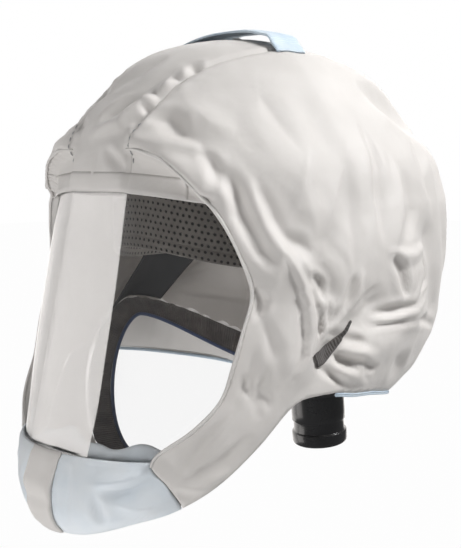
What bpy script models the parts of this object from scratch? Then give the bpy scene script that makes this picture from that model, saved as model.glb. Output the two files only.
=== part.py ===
"""A short protective hood for breathing air: a coated cloth hood with a bent clear visor, a knitted
chin panel, an elastic neck seal, a head harness and a hose connector under its back.

Metres, +Z up. The wearer looks along -Y and their left is +X. The origin is the middle of the
head harness, where the hood sits on the head.
"""

import math
from collections import namedtuple

import bmesh
import bpy
import numpy as np
from mathutils import Matrix, Vector
from mathutils.bvhtree import BVHTree
from mathutils.geometry import delaunay_2d_cdt

# Main sizes of the hood, outside.
HALF_WIDTH = 0.129
BROW_REACH = 0.136
BACK_REACH = 0.164
CROWN_HEIGHT = 0.138
BROW_HEIGHT = 0.034
TEMPLE_DIP = 0.009
CHIN_DROP = 0.181
BAG_DROP = 0.110
PLAN_CENTRE = -0.017

# Cloth, film and the clearances between pieces that are sewn or pressed together.
CLOTH = 0.0013
VISOR_FILM = 0.001
GAP = 0.0003
SEAM_GAP = 0.0008

# The two crown seams, as half the width of the middle panel.
SEAM_AT_BROW = 0.036
SEAM_AT_CROWN = 0.026

# Visor: where its lower edge is, and how far it is sewn in under the cloth.
VISOR_BOTTOM = 0.128
VISOR_TUCK = 0.006
VISOR_GAP = 0.0010
CHIN_TUCK = 0.004
CHIN_SEAM_GAP = 0.6
CHIN_STRIP = 0.022
CHIN_STRIP_SAG = 0.0004

# Head harness.
BAND_HALF_WIDTH = 0.077
BAND_HALF_LENGTH = 0.094
BAND_CENTRE = -0.009
BAND_HEIGHT = 0.044
BAND_THICK = 0.004
BAND_END_TURN = 118.0
BAND_FRONT_DROP = 0.0035
BAND_SIDE_DROP = 0.0135
PLATE_THICK = 0.0025
PLATE_TURN = 92.0
PLATE_SPREAD = 17.0
PLATE_TOP = 0.012

# Neck seal, an elastic band round a saddle-shaped loop.
SEAL_HALF_WIDTH = 0.083
SEAL_FRONT = 0.098
SEAL_BACK = 0.032
SEAL_EAR_DROP = 0.062
SEAL_CHIN_DROP = 0.148
SEAL_NAPE_DROP = 0.100
SEAL_BAND = 0.017
SEAL_THICK = 0.0018
BINDING_RADIUS = 0.0013

# Neck skirt.
SKIRT_SAG = 0.004
SKIRT_ROWS = 8
CHIN_COLUMNS = 12

# Hose connector.
HOSE_RADIUS = 0.021
HOSE_BORE = 0.0175
HOSE_PLACE = 0.078
HOSE_END_DROP = 0.167
HOSE_TOP_DROP = 0.104
FLOOR_DROP = 0.1225
HOSE_LEAN = 6.0
FLANGE_RADIUS = 0.0245
FLANGE_THICK = 0.003
GROOVE_DEPTH = 0.0010
HOSE_SIDES = 28

# Carrying loop on the crown.
LOOP_WIDTH = 0.027
LOOP_HALF_SPAN = 0.060
LOOP_RISE = 0.0062
LOOP_THICK = 0.0015
LOOP_PLACE = -0.015

# Elastic strip sewn into the gathers at each ear.
STRIP_WIDTH = 0.012
STRIP_THICK = 0.0015
STRIP_LIFT = 0.0029
STRIP_HIGH_TURN = 86.0
STRIP_HIGH = 0.245
STRIP_LOW_TURN = 71.0
STRIP_LOW = 0.430
EDGING_TURN = 80.0

# Mesh resolution.
CROWN_ROWS = 10
FRONT_COLUMNS = 5
SIDE_COLUMNS = 20
HEM_COLUMNS = 22
REAR_ROWS = 10
EDGE_ROWS = 17
NET_STEP = 0.0145

# Crown sections. level runs from the top to the brow line; the rest are shares of the rise
# above the brow line, of BROW_REACH, BACK_REACH and HALF_WIDTH.
Crown = namedtuple("Crown", "level rise front back width")
CROWN = [
    Crown(0.00, 1.000, 0.00, 0.00, 0.00),
    Crown(0.12, 0.985, 0.22, 0.11, 0.20),
    Crown(0.25, 0.940, 0.41, 0.26, 0.36),
    Crown(0.38, 0.875, 0.55, 0.46, 0.48),
    Crown(0.50, 0.770, 0.67, 0.67, 0.59),
    Crown(0.62, 0.620, 0.78, 0.81, 0.69),
    Crown(0.74, 0.460, 0.900, 0.925, 0.80),
    Crown(0.87, 0.240, 0.970, 0.995, 0.92),
    Crown(1.00, 0.000, 1.000, 1.020, 0.975),
]

# Sections of the face and cheeks below the brow line: share of CHIN_DROP, of BROW_REACH and of HALF_WIDTH.
Face = namedtuple("Face", "drop front width")
FACE = [
    Face(-0.19, 1.000, 0.970),
    Face(0.11, 1.080, 1.010),
    Face(0.33, 1.147, 1.020),
    Face(0.55, 1.213, 1.010),
    Face(0.71, 1.270, 0.960),
    Face(0.83, 1.310, 0.880),
    Face(0.92, 1.300, 0.800),
    Face(1.00, 1.240, 0.720),
]

# Sections of the back below the brow line: share of BAG_DROP, of BACK_REACH and of HALF_WIDTH.
Bag = namedtuple("Bag", "drop back width")
BAG = [
    Bag(-0.30, 0.990, 0.970),
    Bag(0.00, 1.015, 1.000),
    Bag(0.30, 1.020, 1.005),
    Bag(0.50, 1.000, 0.990),
    Bag(0.70, 0.930, 0.960),
    Bag(0.85, 0.840, 0.915),
    Bag(0.94, 0.750, 0.870),
    Bag(1.00, 0.670, 0.830),
]

# Turn of the face opening's edge at the brow line and at its lowest corner.
EDGE_TOP_TURN = 38.0
EDGE_LOW_TURN = 46.5

# Half angle of the face opening, in degrees of turn from the middle of the face, by share of CHIN_DROP.
Opening = namedtuple("Opening", "drop turn")
OPENING = [
    Opening(-0.19, 38.0),
    Opening(-0.08, 45.0),
    Opening(0.04, 50.5),
    Opening(0.13, 53.5),
    Opening(0.26, 52.0),
    Opening(0.40, 50.0),
    Opening(0.50, 48.0),
    Opening(0.60, 42.5),
    Opening(0.71, 34.5),
    Opening(0.79, 41.0),
    Opening(0.87, 46.5),
    Opening(1.00, 48.0),
]

# Lower edge of the cloth: share of CHIN_DROP by degrees of turn from the middle of the chin.
Hem = namedtuple("Hem", "turn drop")
HEM = [
    Hem(0.0, 1.000),
    Hem(18.0, 0.985),
    Hem(34.0, 0.930),
    Hem(46.5, 0.870),
    Hem(53.0, 0.800),
    Hem(60.0, 0.665),
    Hem(67.0, 0.530),
    Hem(75.0, 0.500),
    Hem(90.0, 0.525),
    Hem(112.0, 0.575),
    Hem(135.0, 0.620),
    Hem(180.0, 0.645),
]

# Slope of the neck seal's band, in degrees above level, by degrees of turn from the chin.
Lift = namedtuple("Lift", "turn lift")
SEAL_LIFT = [
    Lift(0.0, -8.0),
    Lift(45.0, 6.0),
    Lift(90.0, 36.0),
    Lift(135.0, 62.0),
    Lift(180.0, 72.0),
]

# Main folds. Places are degrees of turn and shares of CHIN_DROP, downwards; width and rise are
# shares of HALF_WIDTH, and a rise below nothing is a dent. Each is on both sides.
Fold = namedtuple("Fold", "name turn_a drop_a turn_b drop_b width rise")
FOLDS = [
    Fold("brow_arch", 22.0, -0.36, 42.0, -0.20, 0.190, 0.030),
    Fold("temple_roll", 44.0, -0.14, 58.0, 0.06, 0.180, 0.024),
    Fold("cheek_roll", 64.0, 0.08, 64.0, 0.36, 0.200, 0.036),
    Fold("rear_cheek_dent", 76.0, -0.02, 78.0, 0.14, 0.180, -0.028),
    Fold("ear_gather", 92.0, 0.22, 77.0, 0.36, 0.170, -0.050),
    Fold("ear_roll_low", 98.0, 0.36, 88.0, 0.40, 0.170, 0.026),
    Fold("crown_dent", 124.0, -0.50, 146.0, -0.42, 0.240, -0.030),
    Fold("rear_pinch", 118.0, 0.00, 126.0, 0.28, 0.190, -0.040),
    Fold("rear_roll", 106.0, 0.06, 108.0, 0.28, 0.200, 0.028),
    Fold("back_drape", 150.0, -0.20, 156.0, 0.42, 0.260, -0.040),
    Fold("back_drape_roll", 172.0, -0.10, 174.0, 0.40, 0.240, 0.030),
    Fold("temple_drape", 80.0, -0.46, 86.0, -0.16, 0.260, -0.024),
]


def slopes(places, values):
    return np.gradient(np.asarray(values, float), np.asarray(places, float))


def along(table, key, value, at):
    """Smooth curve through one column of a table, read at the given places."""
    places = np.array([getattr(row, key) for row in table], float)
    values = np.array([getattr(row, value) for row in table], float)
    tangent = slopes(places, values)
    at = np.clip(at, places[0], places[-1])
    i = np.clip(np.searchsorted(places, at, side="right") - 1, 0, len(places) - 2)
    span = places[i + 1] - places[i]
    t = (at - places[i]) / span
    return (
        (2 * t**3 - 3 * t**2 + 1) * values[i]
        + (t**3 - 2 * t**2 + t) * span * tangent[i]
        + (3 * t**2 - 2 * t**3) * values[i + 1]
        + (t**3 - t**2) * span * tangent[i + 1]
    )


def ease(low, high, at):
    t = np.clip((at - low) / (high - low), 0.0, 1.0)
    return t * t * (3 - 2 * t)


def plan_point(turn, front, back, width):
    """Point of a plan outline at a turn from the front, in degrees, with its own front, back and half width."""
    angle = np.radians(turn)
    forward = np.cos(angle)
    reach = np.where(forward > 0, front + PLAN_CENTRE, back - PLAN_CENTRE)
    return width * np.sin(angle), PLAN_CENTRE - reach * forward


def brow_height(turn):
    return BROW_HEIGHT - TEMPLE_DIP * ease(10.0, 60.0, np.abs(turn))


def crown_point(turn, level):
    """Bare outer surface above the brow line."""
    low = brow_height(turn)
    height = low + (CROWN_HEIGHT - low) * along(CROWN, "level", "rise", level)
    front = BROW_REACH * along(CROWN, "level", "front", level)
    back = BACK_REACH * along(CROWN, "level", "back", level)
    width = HALF_WIDTH * along(CROWN, "level", "width", level)
    x, y = plan_point(turn, front, back, width)
    return np.stack([x, y, height + 0 * x], -1)


def side_point(turn, height):
    """Bare outer surface below the brow line."""
    turn, height = np.broadcast_arrays(np.asarray(turn, float), np.asarray(height, float))
    drop = -height / CHIN_DROP
    fall = -height / BAG_DROP
    front = BROW_REACH * along(FACE, "drop", "front", drop)
    face_x, face_y = plan_point(turn, front, BACK_REACH, HALF_WIDTH * along(FACE, "drop", "width", drop))
    back = BACK_REACH * along(BAG, "drop", "back", fall)
    bag_x, bag_y = plan_point(turn, front, back, HALF_WIDTH * along(BAG, "drop", "width", fall))
    share = ease(72.0, 104.0, np.abs(turn))
    return np.stack([face_x + (bag_x - face_x) * share, face_y + (bag_y - face_y) * share, height], -1)


def opening_turn(height):
    return along(OPENING, "drop", "turn", -np.asarray(height, float) / CHIN_DROP)


def hem_height(turn):
    return -CHIN_DROP * along(HEM, "turn", "drop", np.abs(turn))


def bare_point(turn, run):
    """Bare outer surface. run is 0 at the top, 1 at the brow line and 2 at the lower edge."""
    turn, run = np.broadcast_arrays(np.asarray(turn, float), np.asarray(run, float))
    low = brow_height(turn)
    below = np.clip(run - 1, 0, None)
    side = side_point(turn, low + (hem_height(turn) - low) * below)
    crown = crown_point(turn, np.clip(run, 0.0, 1.0))
    return np.where((run <= 1)[..., None], crown, side)


def bare_normal(turn, run):
    """Outward direction of the bare surface."""
    run = np.maximum(np.asarray(run, float), 0.02)
    across = bare_point(turn + 0.4, run) - bare_point(turn - 0.4, run)
    down = bare_point(turn, run + 0.004) - bare_point(turn, run - 0.004)
    normal = np.cross(down, across)
    return normal / np.linalg.norm(normal, axis=-1, keepdims=True)


def fold_rise(turn, height, table=FOLDS):
    """Sum of the folds at a place, in metres outwards."""
    drop = -np.asarray(height, float) / CHIN_DROP
    turn = np.abs(turn)
    total = np.zeros(np.broadcast(turn, drop).shape)
    for fold in table:
        step_turn = np.radians(fold.turn_b - fold.turn_a) * HALF_WIDTH
        step_drop = (fold.drop_b - fold.drop_a) * CHIN_DROP
        at_turn = np.radians(turn - fold.turn_a) * HALF_WIDTH
        at_drop = (drop - fold.drop_a) * CHIN_DROP
        length = math.hypot(step_turn, step_drop)
        run = (at_turn * step_turn + at_drop * step_drop) / length
        off = (at_turn * step_drop - at_drop * step_turn) / length
        past = np.maximum(np.maximum(-run, run - length), 0.0)
        half = fold.width * HALF_WIDTH / 2
        total = total + fold.rise * HALF_WIDTH * np.exp(-((off / half) ** 2) - (past / half) ** 2)
    return total


def height_run(turn, height):
    """run value of a height below the brow line."""
    low = brow_height(turn)
    return 1 + (height - low) / (hem_height(turn) - low)


def hem_turns(count):
    """Turns that part one side of the lower edge into equal lengths."""
    fine = np.linspace(EDGE_LOW_TURN, 180.0, 400)
    places = bare_point(fine, np.full(400, 2.0))
    length = np.concatenate([[0.0], np.cumsum(np.linalg.norm(np.diff(places, axis=0), axis=1))])
    return np.interp(np.linspace(0, length[-1], count), length, fine)


def cloth_point(turn, run, depth=0.0):
    """Point of the cloth, folds and all, at a depth below its outer face."""
    bare = bare_point(turn, run)
    inset = ease(0.0, 14.0, np.abs(turn) - opening_turn(bare[..., 2]))
    rise = fold_rise(turn, bare[..., 2])
    rise = np.where(rise < 0, rise * inset, rise) * ease(0.3, 0.7, run)
    return bare + bare_normal(turn, run) * (rise - depth)[..., None]


def seal_edge(turn):
    """Inner edge of the neck seal."""
    angle = np.radians(turn)
    forward = np.cos(angle)
    mid = (SEAL_BACK - SEAL_FRONT) / 2
    x = SEAL_HALF_WIDTH * np.sin(angle)
    y = mid - (SEAL_BACK + SEAL_FRONT) / 2 * forward
    end = np.where(forward > 0, SEAL_CHIN_DROP, SEAL_NAPE_DROP)
    low = SEAL_EAR_DROP + (end - SEAL_EAR_DROP) * np.abs(forward) ** 1.6
    return np.stack([x, y, -low], -1)


def seal_outward(turn):
    """Direction in which the seal's band runs out from its inner edge: nearly upright at the nape."""
    angle = np.radians(turn)
    lift = np.radians(along(SEAL_LIFT, "turn", "lift", np.abs(turn)))
    x = np.sin(angle) / SEAL_HALF_WIDTH
    y = -np.cos(angle) / ((SEAL_BACK + SEAL_FRONT) / 2)
    size = np.hypot(x, y)
    return np.stack([x / size * np.cos(lift), y / size * np.cos(lift), np.sin(lift)], -1)


# Blender objects

for leftover in list(bpy.data.objects):
    bpy.data.objects.remove(leftover, do_unlink=True)


def material(name, colour, roughness, metallic=0.0, alpha=1.0):
    made = bpy.data.materials.new(name)
    made.use_nodes = True
    shader = made.node_tree.nodes["Principled BSDF"]
    shader.inputs["Base Color"].default_value = (*colour, 1.0)
    shader.inputs["Roughness"].default_value = roughness
    shader.inputs["Metallic"].default_value = metallic
    shader.inputs["Alpha"].default_value = alpha
    made.diffuse_color = (*colour, alpha)
    return made


def body(name, points, faces, surface, smooth=True):
    mesh = bpy.data.meshes.new(name)
    mesh.from_pydata([tuple(map(float, point)) for point in points], [], [tuple(face) for face in faces])
    work = bmesh.new()
    work.from_mesh(mesh)
    bmesh.ops.recalc_face_normals(work, faces=work.faces)
    if work.calc_volume(signed=True) < 0:
        bmesh.ops.reverse_faces(work, faces=work.faces)
    for face in work.faces:
        face.smooth = smooth
    work.to_mesh(mesh)
    work.free()
    mesh.materials.append(surface)
    made = bpy.data.objects.new(name, mesh)
    bpy.context.scene.collection.objects.link(made)
    return made


def slab(outer, inner, ring=False):
    """Closed body between two grids of points. ring joins the last column to the first."""
    rows, columns = outer.shape[:2]
    points = np.concatenate([outer.reshape(-1, 3), inner.reshape(-1, 3)])
    base = rows * columns
    faces = []
    spans = columns if ring else columns - 1
    for r in range(rows - 1):
        for c in range(spans):
            n = (c + 1) % columns
            a, b, d, e = r * columns + c, r * columns + n, (r + 1) * columns + n, (r + 1) * columns + c
            for triangle in ([a, b, d], [a, d, e]):
                faces.append(triangle)
                faces.append([base + i for i in reversed(triangle)])
    for r, turn in ((0, 1), (rows - 1, -1)):
        for c in range(spans):
            n = (c + 1) % columns
            quad = [r * columns + n, r * columns + c, base + r * columns + c, base + r * columns + n]
            faces.append(quad[::turn])
    if not ring:
        for c, turn in ((0, 1), (columns - 1, -1)):
            for r in range(rows - 1):
                a, b = r * columns + c, (r + 1) * columns + c
                quad = [a, b, base + b, base + a]
                faces.append(quad[::turn])
    return points, faces


def lathe(profile, sides, place):
    """Closed ring turned round an upright axis. profile rows are radius and height."""
    angles = np.arange(sides) * 2 * math.pi / sides
    points = []
    for radius, height in profile:
        for angle in angles:
            points.append((place[0] + radius * math.sin(angle), place[1] - radius * math.cos(angle), height))
    faces = []
    count = len(profile)
    for r in range(count):
        n = (r + 1) % count
        for c in range(sides):
            d = (c + 1) % sides
            faces.append((r * sides + c, r * sides + d, n * sides + d, n * sides + c))
    return points, faces


def tube(path, radius, sides, ring):
    """Round cord along a path."""
    path = np.asarray(path, float)
    count = len(path)
    points = []
    for i in range(count):
        after = path[(i + 1) % count] if ring or i < count - 1 else path[i]
        before = path[i - 1] if ring or i > 0 else path[i]
        along_path = after - before
        along_path /= np.linalg.norm(along_path)
        out = path[i] * np.array([1.0, 1.0, 0.0])
        side = np.cross(along_path, np.cross(out, along_path))
        side /= np.linalg.norm(side)
        up = np.cross(along_path, side)
        for k in range(sides):
            angle = 2 * math.pi * (k + 0.5) / sides
            points.append(path[i] + radius * (math.cos(angle) * side + math.sin(angle) * up))
    faces = []
    for i in range(count if ring else count - 1):
        j = (i + 1) % count
        for k in range(sides):
            m = (k + 1) % sides
            faces.append((i * sides + k, i * sides + m, j * sides + m, j * sides + k))
    if not ring:
        faces.append(tuple(reversed(range(sides))))
        faces.append(tuple((count - 1) * sides + k for k in range(sides)))
    return points, faces


def thicken(work, depth):
    """Turn an open sheet into a closed body by adding an inner face at a depth."""
    work.normal_update()
    verts = list(work.verts)
    faces = list(work.faces)
    rims = [edge for edge in work.edges if len(edge.link_faces) == 1]
    turns = []
    for edge in rims:
        loop = edge.link_loops[0]
        turns.append((loop.vert, loop.link_loop_next.vert))
    twin = {vert: work.verts.new(vert.co - vert.normal * depth) for vert in verts}
    for face in faces:
        work.faces.new([twin[loop.vert] for loop in reversed(face.loops)])
    for first, second in turns:
        work.faces.new([second, first, twin[first], twin[second]])


grey_cloth = material("coated_cloth", (0.80, 0.79, 0.775), 0.62)
blue_knit = material("knitted_polyester", (0.68, 0.76, 0.84), 0.85)
loop_web = material("loop_webbing", (0.66, 0.77, 0.87), 0.7)
clear_film = material("clear_film", (0.86, 0.88, 0.88), 0.08, alpha=0.28)
dark_elastic = material("dark_elastic", (0.045, 0.040, 0.038), 0.8)
navy_edge = material("navy_binding", (0.03, 0.045, 0.09), 0.7)
band_foam = material("perforated_foam", (0.13, 0.125, 0.12), 0.8)
black_plastic = material("black_plastic", (0.012, 0.012, 0.013), 0.3)

# Cloth of the crown and sides, as one sheet that is then parted along the seams.
front_turns = [EDGE_TOP_TURN * c / FRONT_COLUMNS for c in range(FRONT_COLUMNS)]
back_turns = [EDGE_TOP_TURN + (180 - EDGE_TOP_TURN) * c / SIDE_COLUMNS for c in range(SIDE_COLUMNS + 1)]
low_turns = hem_turns(HEM_COLUMNS)


def inside(point, outline):
    """Whether a point is inside a closed outline."""
    crossings = 0
    for first, second in zip(outline, outline[1:] + outline[:1]):
        if (first[1] > point[1]) != (second[1] > point[1]):
            share = (point[1] - first[1]) / (second[1] - first[1])
            crossings += point[0] < first[0] + share * (second[0] - first[0])
    return crossings % 2 == 1


def side_net():
    """Net of one side below the brow line: places as turn and run, and its triangles. The first
    places are the brow line's, then the middle of the back's, the lower edge's and the opening's."""
    brow = [(turn, float(brow_height(turn))) for turn in back_turns]
    rear = np.linspace(brow[-1][1], float(hem_height(180.0)), REAR_ROWS + 1)[1:-1]
    edge = np.linspace(brow[0][1], float(hem_height(EDGE_LOW_TURN)), EDGE_ROWS + 1)[1:-1]
    outline = list(brow) + [(180.0, float(z)) for z in rear]
    outline += [(float(turn), float(hem_height(turn))) for turn in reversed(low_turns)]
    outline += [(float(opening_turn(z)), float(z)) for z in reversed(edge)]
    flat = [(math.radians(turn) * HALF_WIDTH, z) for turn, z in outline]
    count = len(flat)
    steps = int((flat[len(brow) - 1][0] - flat[0][0]) / NET_STEP) + 2
    for row in range(int((BROW_HEIGHT + CHIN_DROP) / (NET_STEP * 0.9)) + 1):
        z = BROW_HEIGHT - row * NET_STEP * 0.9
        for column in range(steps):
            x = math.pi * HALF_WIDTH - (column + 0.5 * (row % 2) + 0.5) * NET_STEP
            if inside((x, z), flat[:count]):
                near = min(math.hypot(x - px, z - pz) for px, pz in flat[:count])
                if near > NET_STEP * 0.55:
                    flat.append((x, z))
    borders = [(i, (i + 1) % count) for i in range(count)]
    triangles = delaunay_2d_cdt([Vector(place) for place in flat], borders, [], 0, 1e-7)[2]
    kept = []
    for triangle in triangles:
        middle = [sum(flat[i][k] for i in triangle) / 3 for k in (0, 1)]
        if inside(middle, flat[:count]):
            kept.append(tuple(triangle))
    turns = np.degrees(np.array([place[0] for place in flat]) / HALF_WIDTH)
    return turns, height_run(turns, np.array([place[1] for place in flat])), kept


grid = {}
sheet_points = []


def sheet_vert(turn, run):
    sheet_points.append(cloth_point(np.array([float(turn)]), np.array([float(run)]))[0])
    return len(sheet_points) - 1


crown_runs = [(r / CROWN_ROWS) ** 0.9 for r in range(1, CROWN_ROWS + 1)]
top_vert = sheet_vert(0.0, 0.0)
crown_columns = front_turns + back_turns
half_count = len(crown_columns)
for side in (1, -1):
    for c, turn in enumerate(crown_columns):
        for r, run in enumerate(crown_runs):
            if side < 0 and (c == 0 or c == half_count - 1):
                grid[side, c, r] = grid[1, c, r]
            else:
                grid[side, c, r] = sheet_vert(side * turn, run)

sheet_faces = []
for side in (1, -1):
    for c in range(half_count - 1):
        first = (top_vert, grid[side, c, 0], grid[side, c + 1, 0])
        sheet_faces.append(first[::side])
        for r in range(CROWN_ROWS - 1):
            quad = (grid[side, c, r], grid[side, c, r + 1], grid[side, c + 1, r + 1], grid[side, c + 1, r])
            sheet_faces.append(quad[::side])
net_turns, net_runs, net_faces = side_net()
shared = {}
for side in (1, -1):
    index = []
    for i, (turn, run) in enumerate(zip(net_turns, net_runs)):
        if i <= SIDE_COLUMNS:
            index.append(grid[side, FRONT_COLUMNS + i, CROWN_ROWS - 1])
        elif turn > 179.9 and i in shared:
            index.append(shared[i])
        else:
            index.append(sheet_vert(side * turn, run))
            shared[i] = index[-1]
    for face in net_faces:
        sheet_faces.append(tuple(index[i] for i in face)[::side])


def cloth_panel(name, cuts):
    """Piece of the sheet on one side of each cutting plane, closed into a body."""
    work = bmesh.new()
    verts = [work.verts.new(point) for point in sheet_points]
    for face in sheet_faces:
        work.faces.new([verts[i] for i in face])
    for place, away in cuts:
        everything = list(work.verts) + list(work.edges) + list(work.faces)
        bmesh.ops.bisect_plane(
            work, geom=everything, dist=0.00002, plane_co=place, plane_no=away, clear_outer=True
        )
    beside_seam = [vert for vert in work.verts if abs(vert.co.x) < SEAM_AT_BROW + 0.002]
    bmesh.ops.remove_doubles(work, verts=beside_seam, dist=0.0007)
    loose = [vert for vert in work.verts if not vert.link_faces]
    bmesh.ops.delete(work, geom=loose, context="VERTS")
    bmesh.ops.triangulate(work, faces=work.faces)
    thicken(work, CLOTH)
    mesh = bpy.data.meshes.new(name)
    bmesh.ops.recalc_face_normals(work, faces=work.faces)
    for face in work.faces:
        face.smooth = True
    work.to_mesh(mesh)
    work.free()
    mesh.materials.append(grey_cloth)
    made = bpy.data.objects.new(name, mesh)
    bpy.context.scene.collection.objects.link(made)
    return made


seam_run = Vector((SEAM_AT_BROW - SEAM_AT_CROWN, -BROW_REACH, 0.0)).normalized()
seam_away = Vector((seam_run.y, -seam_run.x, 0.0)) * -1
left_seam = Vector((SEAM_AT_CROWN, 0.0, 0.0))
half_gap = seam_away * (SEAM_GAP / 2)
mirror = Vector((-1.0, 1.0, 1.0))
left_cut = (left_seam - half_gap, seam_away)
right_cut = ((left_seam - half_gap) * mirror, seam_away * mirror)
crown_panel = cloth_panel("crown_panel", [left_cut, right_cut])
side_panel_left = cloth_panel("side_panel_left", [(left_seam + half_gap, -seam_away)])
side_panel_right = cloth_panel("side_panel_right", [((left_seam + half_gap) * mirror, -seam_away * mirror)])


# Visor, sewn in under the cloth of the brow, cheeks and chin.
visor_heights = np.linspace(BROW_HEIGHT, -VISOR_BOTTOM - CHIN_TUCK, 11)
rows = []
for height in visor_heights:
    reach = float(opening_turn(height)) + math.degrees(VISOR_TUCK / HALF_WIDTH)
    rows.append((np.linspace(-reach, reach, 17), np.full(17, height)))
turns = np.array([row[0] for row in rows])
heights = np.array([row[1] for row in rows])
runs = height_run(turns, heights)
runs[0] = 1 - 0.04
flat = bare_point(turns, runs)
flat_normal = bare_normal(turns, runs)
outer = flat - flat_normal * (CLOTH + VISOR_GAP)
inner = outer - flat_normal * VISOR_FILM
visor = body("visor", *slab(outer, inner), clear_film)

# Chin panel and its centre strip.
chin_rows = 8
chin_columns = CHIN_COLUMNS + 1
grid_turns = np.zeros((chin_rows, chin_columns))
grid_runs = np.zeros((chin_rows, chin_columns))
for c, share in enumerate(np.linspace(-1, 1, chin_columns)):
    for r, down in enumerate(np.linspace(0, 1, chin_rows)):
        turn = share * 40.0
        for _ in range(30):
            top = -VISOR_BOTTOM
            height = top + (float(hem_height(turn)) - top) * down
            turn = share * (float(opening_turn(height)) - CHIN_SEAM_GAP)
        grid_turns[r, c] = turn
        grid_runs[r, c] = height_run(turn, height)
outer = bare_point(grid_turns, grid_runs)
chin_normal = bare_normal(grid_turns, grid_runs)
chin_panel = body("chin_panel", *slab(outer, outer - chin_normal * CLOTH), blue_knit)
half_strip = math.degrees(CHIN_STRIP / 2 / (BROW_REACH * 1.25))
strip_turns = np.tile(np.linspace(-half_strip, half_strip, 4), (chin_rows, 1))
strip_heights = np.tile(np.linspace(-VISOR_BOTTOM, -CHIN_DROP, chin_rows)[:, None], (1, 4))
strip_runs = height_run(strip_turns, strip_heights)
base = bare_point(strip_turns, strip_runs)
out = bare_normal(strip_turns, strip_runs)
lift = GAP + CHIN_STRIP_SAG
chin_strip = body("chin_strip", *slab(base + out * (lift + CLOTH), base + out * lift), grey_cloth)

# Neck seal: elastic band with a bound edge.
chin_turns = np.linspace(-EDGE_LOW_TURN, EDGE_LOW_TURN, CHIN_COLUMNS + 1)[1:-1]
ring_turns = np.concatenate([-low_turns[-2::-1], chin_turns, low_turns])
RING_COLUMNS = len(ring_turns)
edge = seal_edge(ring_turns)
outward = seal_outward(ring_turns)
tangent = np.roll(edge, -1, axis=0) - np.roll(edge, 1, axis=0)
tangent /= np.linalg.norm(tangent, axis=1, keepdims=True)
facing = np.cross(outward, tangent)
facing /= np.linalg.norm(facing, axis=1, keepdims=True)
steps = np.linspace(0, SEAL_BAND, 4)
top = np.array([edge + outward * step for step in steps])
seal = body("neck_seal", *slab(top + facing * SEAL_THICK / 2, top - facing * SEAL_THICK / 2, ring=True), dark_elastic)
cord = edge - outward * (BINDING_RADIUS + GAP)
seal_binding = body("seal_binding", *tube(cord, BINDING_RADIUS, 4, True), navy_edge)

# Neck skirt, from the lower edge of the hood in to the neck seal, with a floor for the hose connector.
start = cloth_point(ring_turns, np.full(RING_COLUMNS, 2.0), CLOTH + 3 * GAP)
finish = edge + outward * (SEAL_BAND + 2 * GAP)
finish[:, :2] += outward[:, :2] * outward[:, 2:] * SEAL_THICK * 2
shares = np.linspace(0, 1, SKIRT_ROWS)
skirt_rows = []
for share in shares:
    row = start + (finish - start) * share
    row[:, 2] -= SKIRT_SAG * math.sin(math.pi * share)
    skirt_rows.append(row)
skirt_outer = np.array(skirt_rows)
away = np.hypot(skirt_outer[..., 0], skirt_outer[..., 1] - HOSE_PLACE)
hold = 1 - ease(FLANGE_RADIUS + 0.001, FLANGE_RADIUS + 0.011, away)
hold *= 1 - ease(0.9, 1.0, shares)[:, None]
floor = math.tan(math.radians(HOSE_LEAN)) * (skirt_outer[..., 1] - HOSE_PLACE) - FLOOR_DROP
skirt_outer[..., 2] += (floor - skirt_outer[..., 2]) * hold
bore = HOSE_RADIUS + GAP
hole_angles = [2 * math.pi * k / HOSE_SIDES for k in range(HOSE_SIDES)]
lean = math.radians(HOSE_LEAN)
floor_place = Matrix.Translation((0.0, HOSE_PLACE, -FLOOR_DROP)) @ Matrix.Rotation(lean, 4, "X")


def leaning(profile, sides):
    """Lathe turned about the hose axis, with heights measured from the skirt's floor."""
    points, faces = lathe(profile, sides, (0.0, 0.0))
    return [floor_place @ Vector(point) for point in points], faces


hole = [floor_place @ Vector((bore * math.sin(a), -bore * math.cos(a), 0.0)) for a in hole_angles]
shelf_radius = FLANGE_RADIUS + 0.0008
shelf = [floor_place @ Vector((shelf_radius * math.sin(a), -shelf_radius * math.cos(a), 0.0)) for a in hole_angles]
skirt_points = list(hole) + list(shelf)
loops = [[i for i in range(HOSE_SIDES)]]
for row in range(SKIRT_ROWS):
    at = len(skirt_points)
    for point, distance in zip(skirt_outer[row], away[row]):
        if row in (0, SKIRT_ROWS - 1) or distance > shelf_radius + 0.0015:
            skirt_points.append(Vector(point))
    if row in (0, SKIRT_ROWS - 1):
        loops.append([at + i for i in range(RING_COLUMNS)])
borders = [(loop[i], loop[(i + 1) % len(loop)]) for loop in loops for i in range(len(loop))]
plan = [point.xy for point in skirt_points]
triangles = delaunay_2d_cdt(plan, borders, [], 0, 1e-7)[2]
outlines = [[tuple(plan[i]) for i in loop] for loop in loops]
work = bmesh.new()
verts = [work.verts.new(point) for point in skirt_points]
for triangle in triangles:
    middle = sum((plan[i] for i in triangle), Vector((0.0, 0.0))) / 3
    if inside(middle, outlines[1]) and not inside(middle, outlines[0]) and not inside(middle, outlines[2]):
        work.faces.new([verts[i] for i in reversed(triangle)])
thicken(work, CLOTH)
mesh = bpy.data.meshes.new("neck_skirt")
for face in work.faces:
    face.smooth = True
work.to_mesh(mesh)
work.free()
mesh.materials.append(grey_cloth)
neck_skirt = bpy.data.objects.new("neck_skirt", mesh)
bpy.context.scene.collection.objects.link(neck_skirt)

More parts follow.
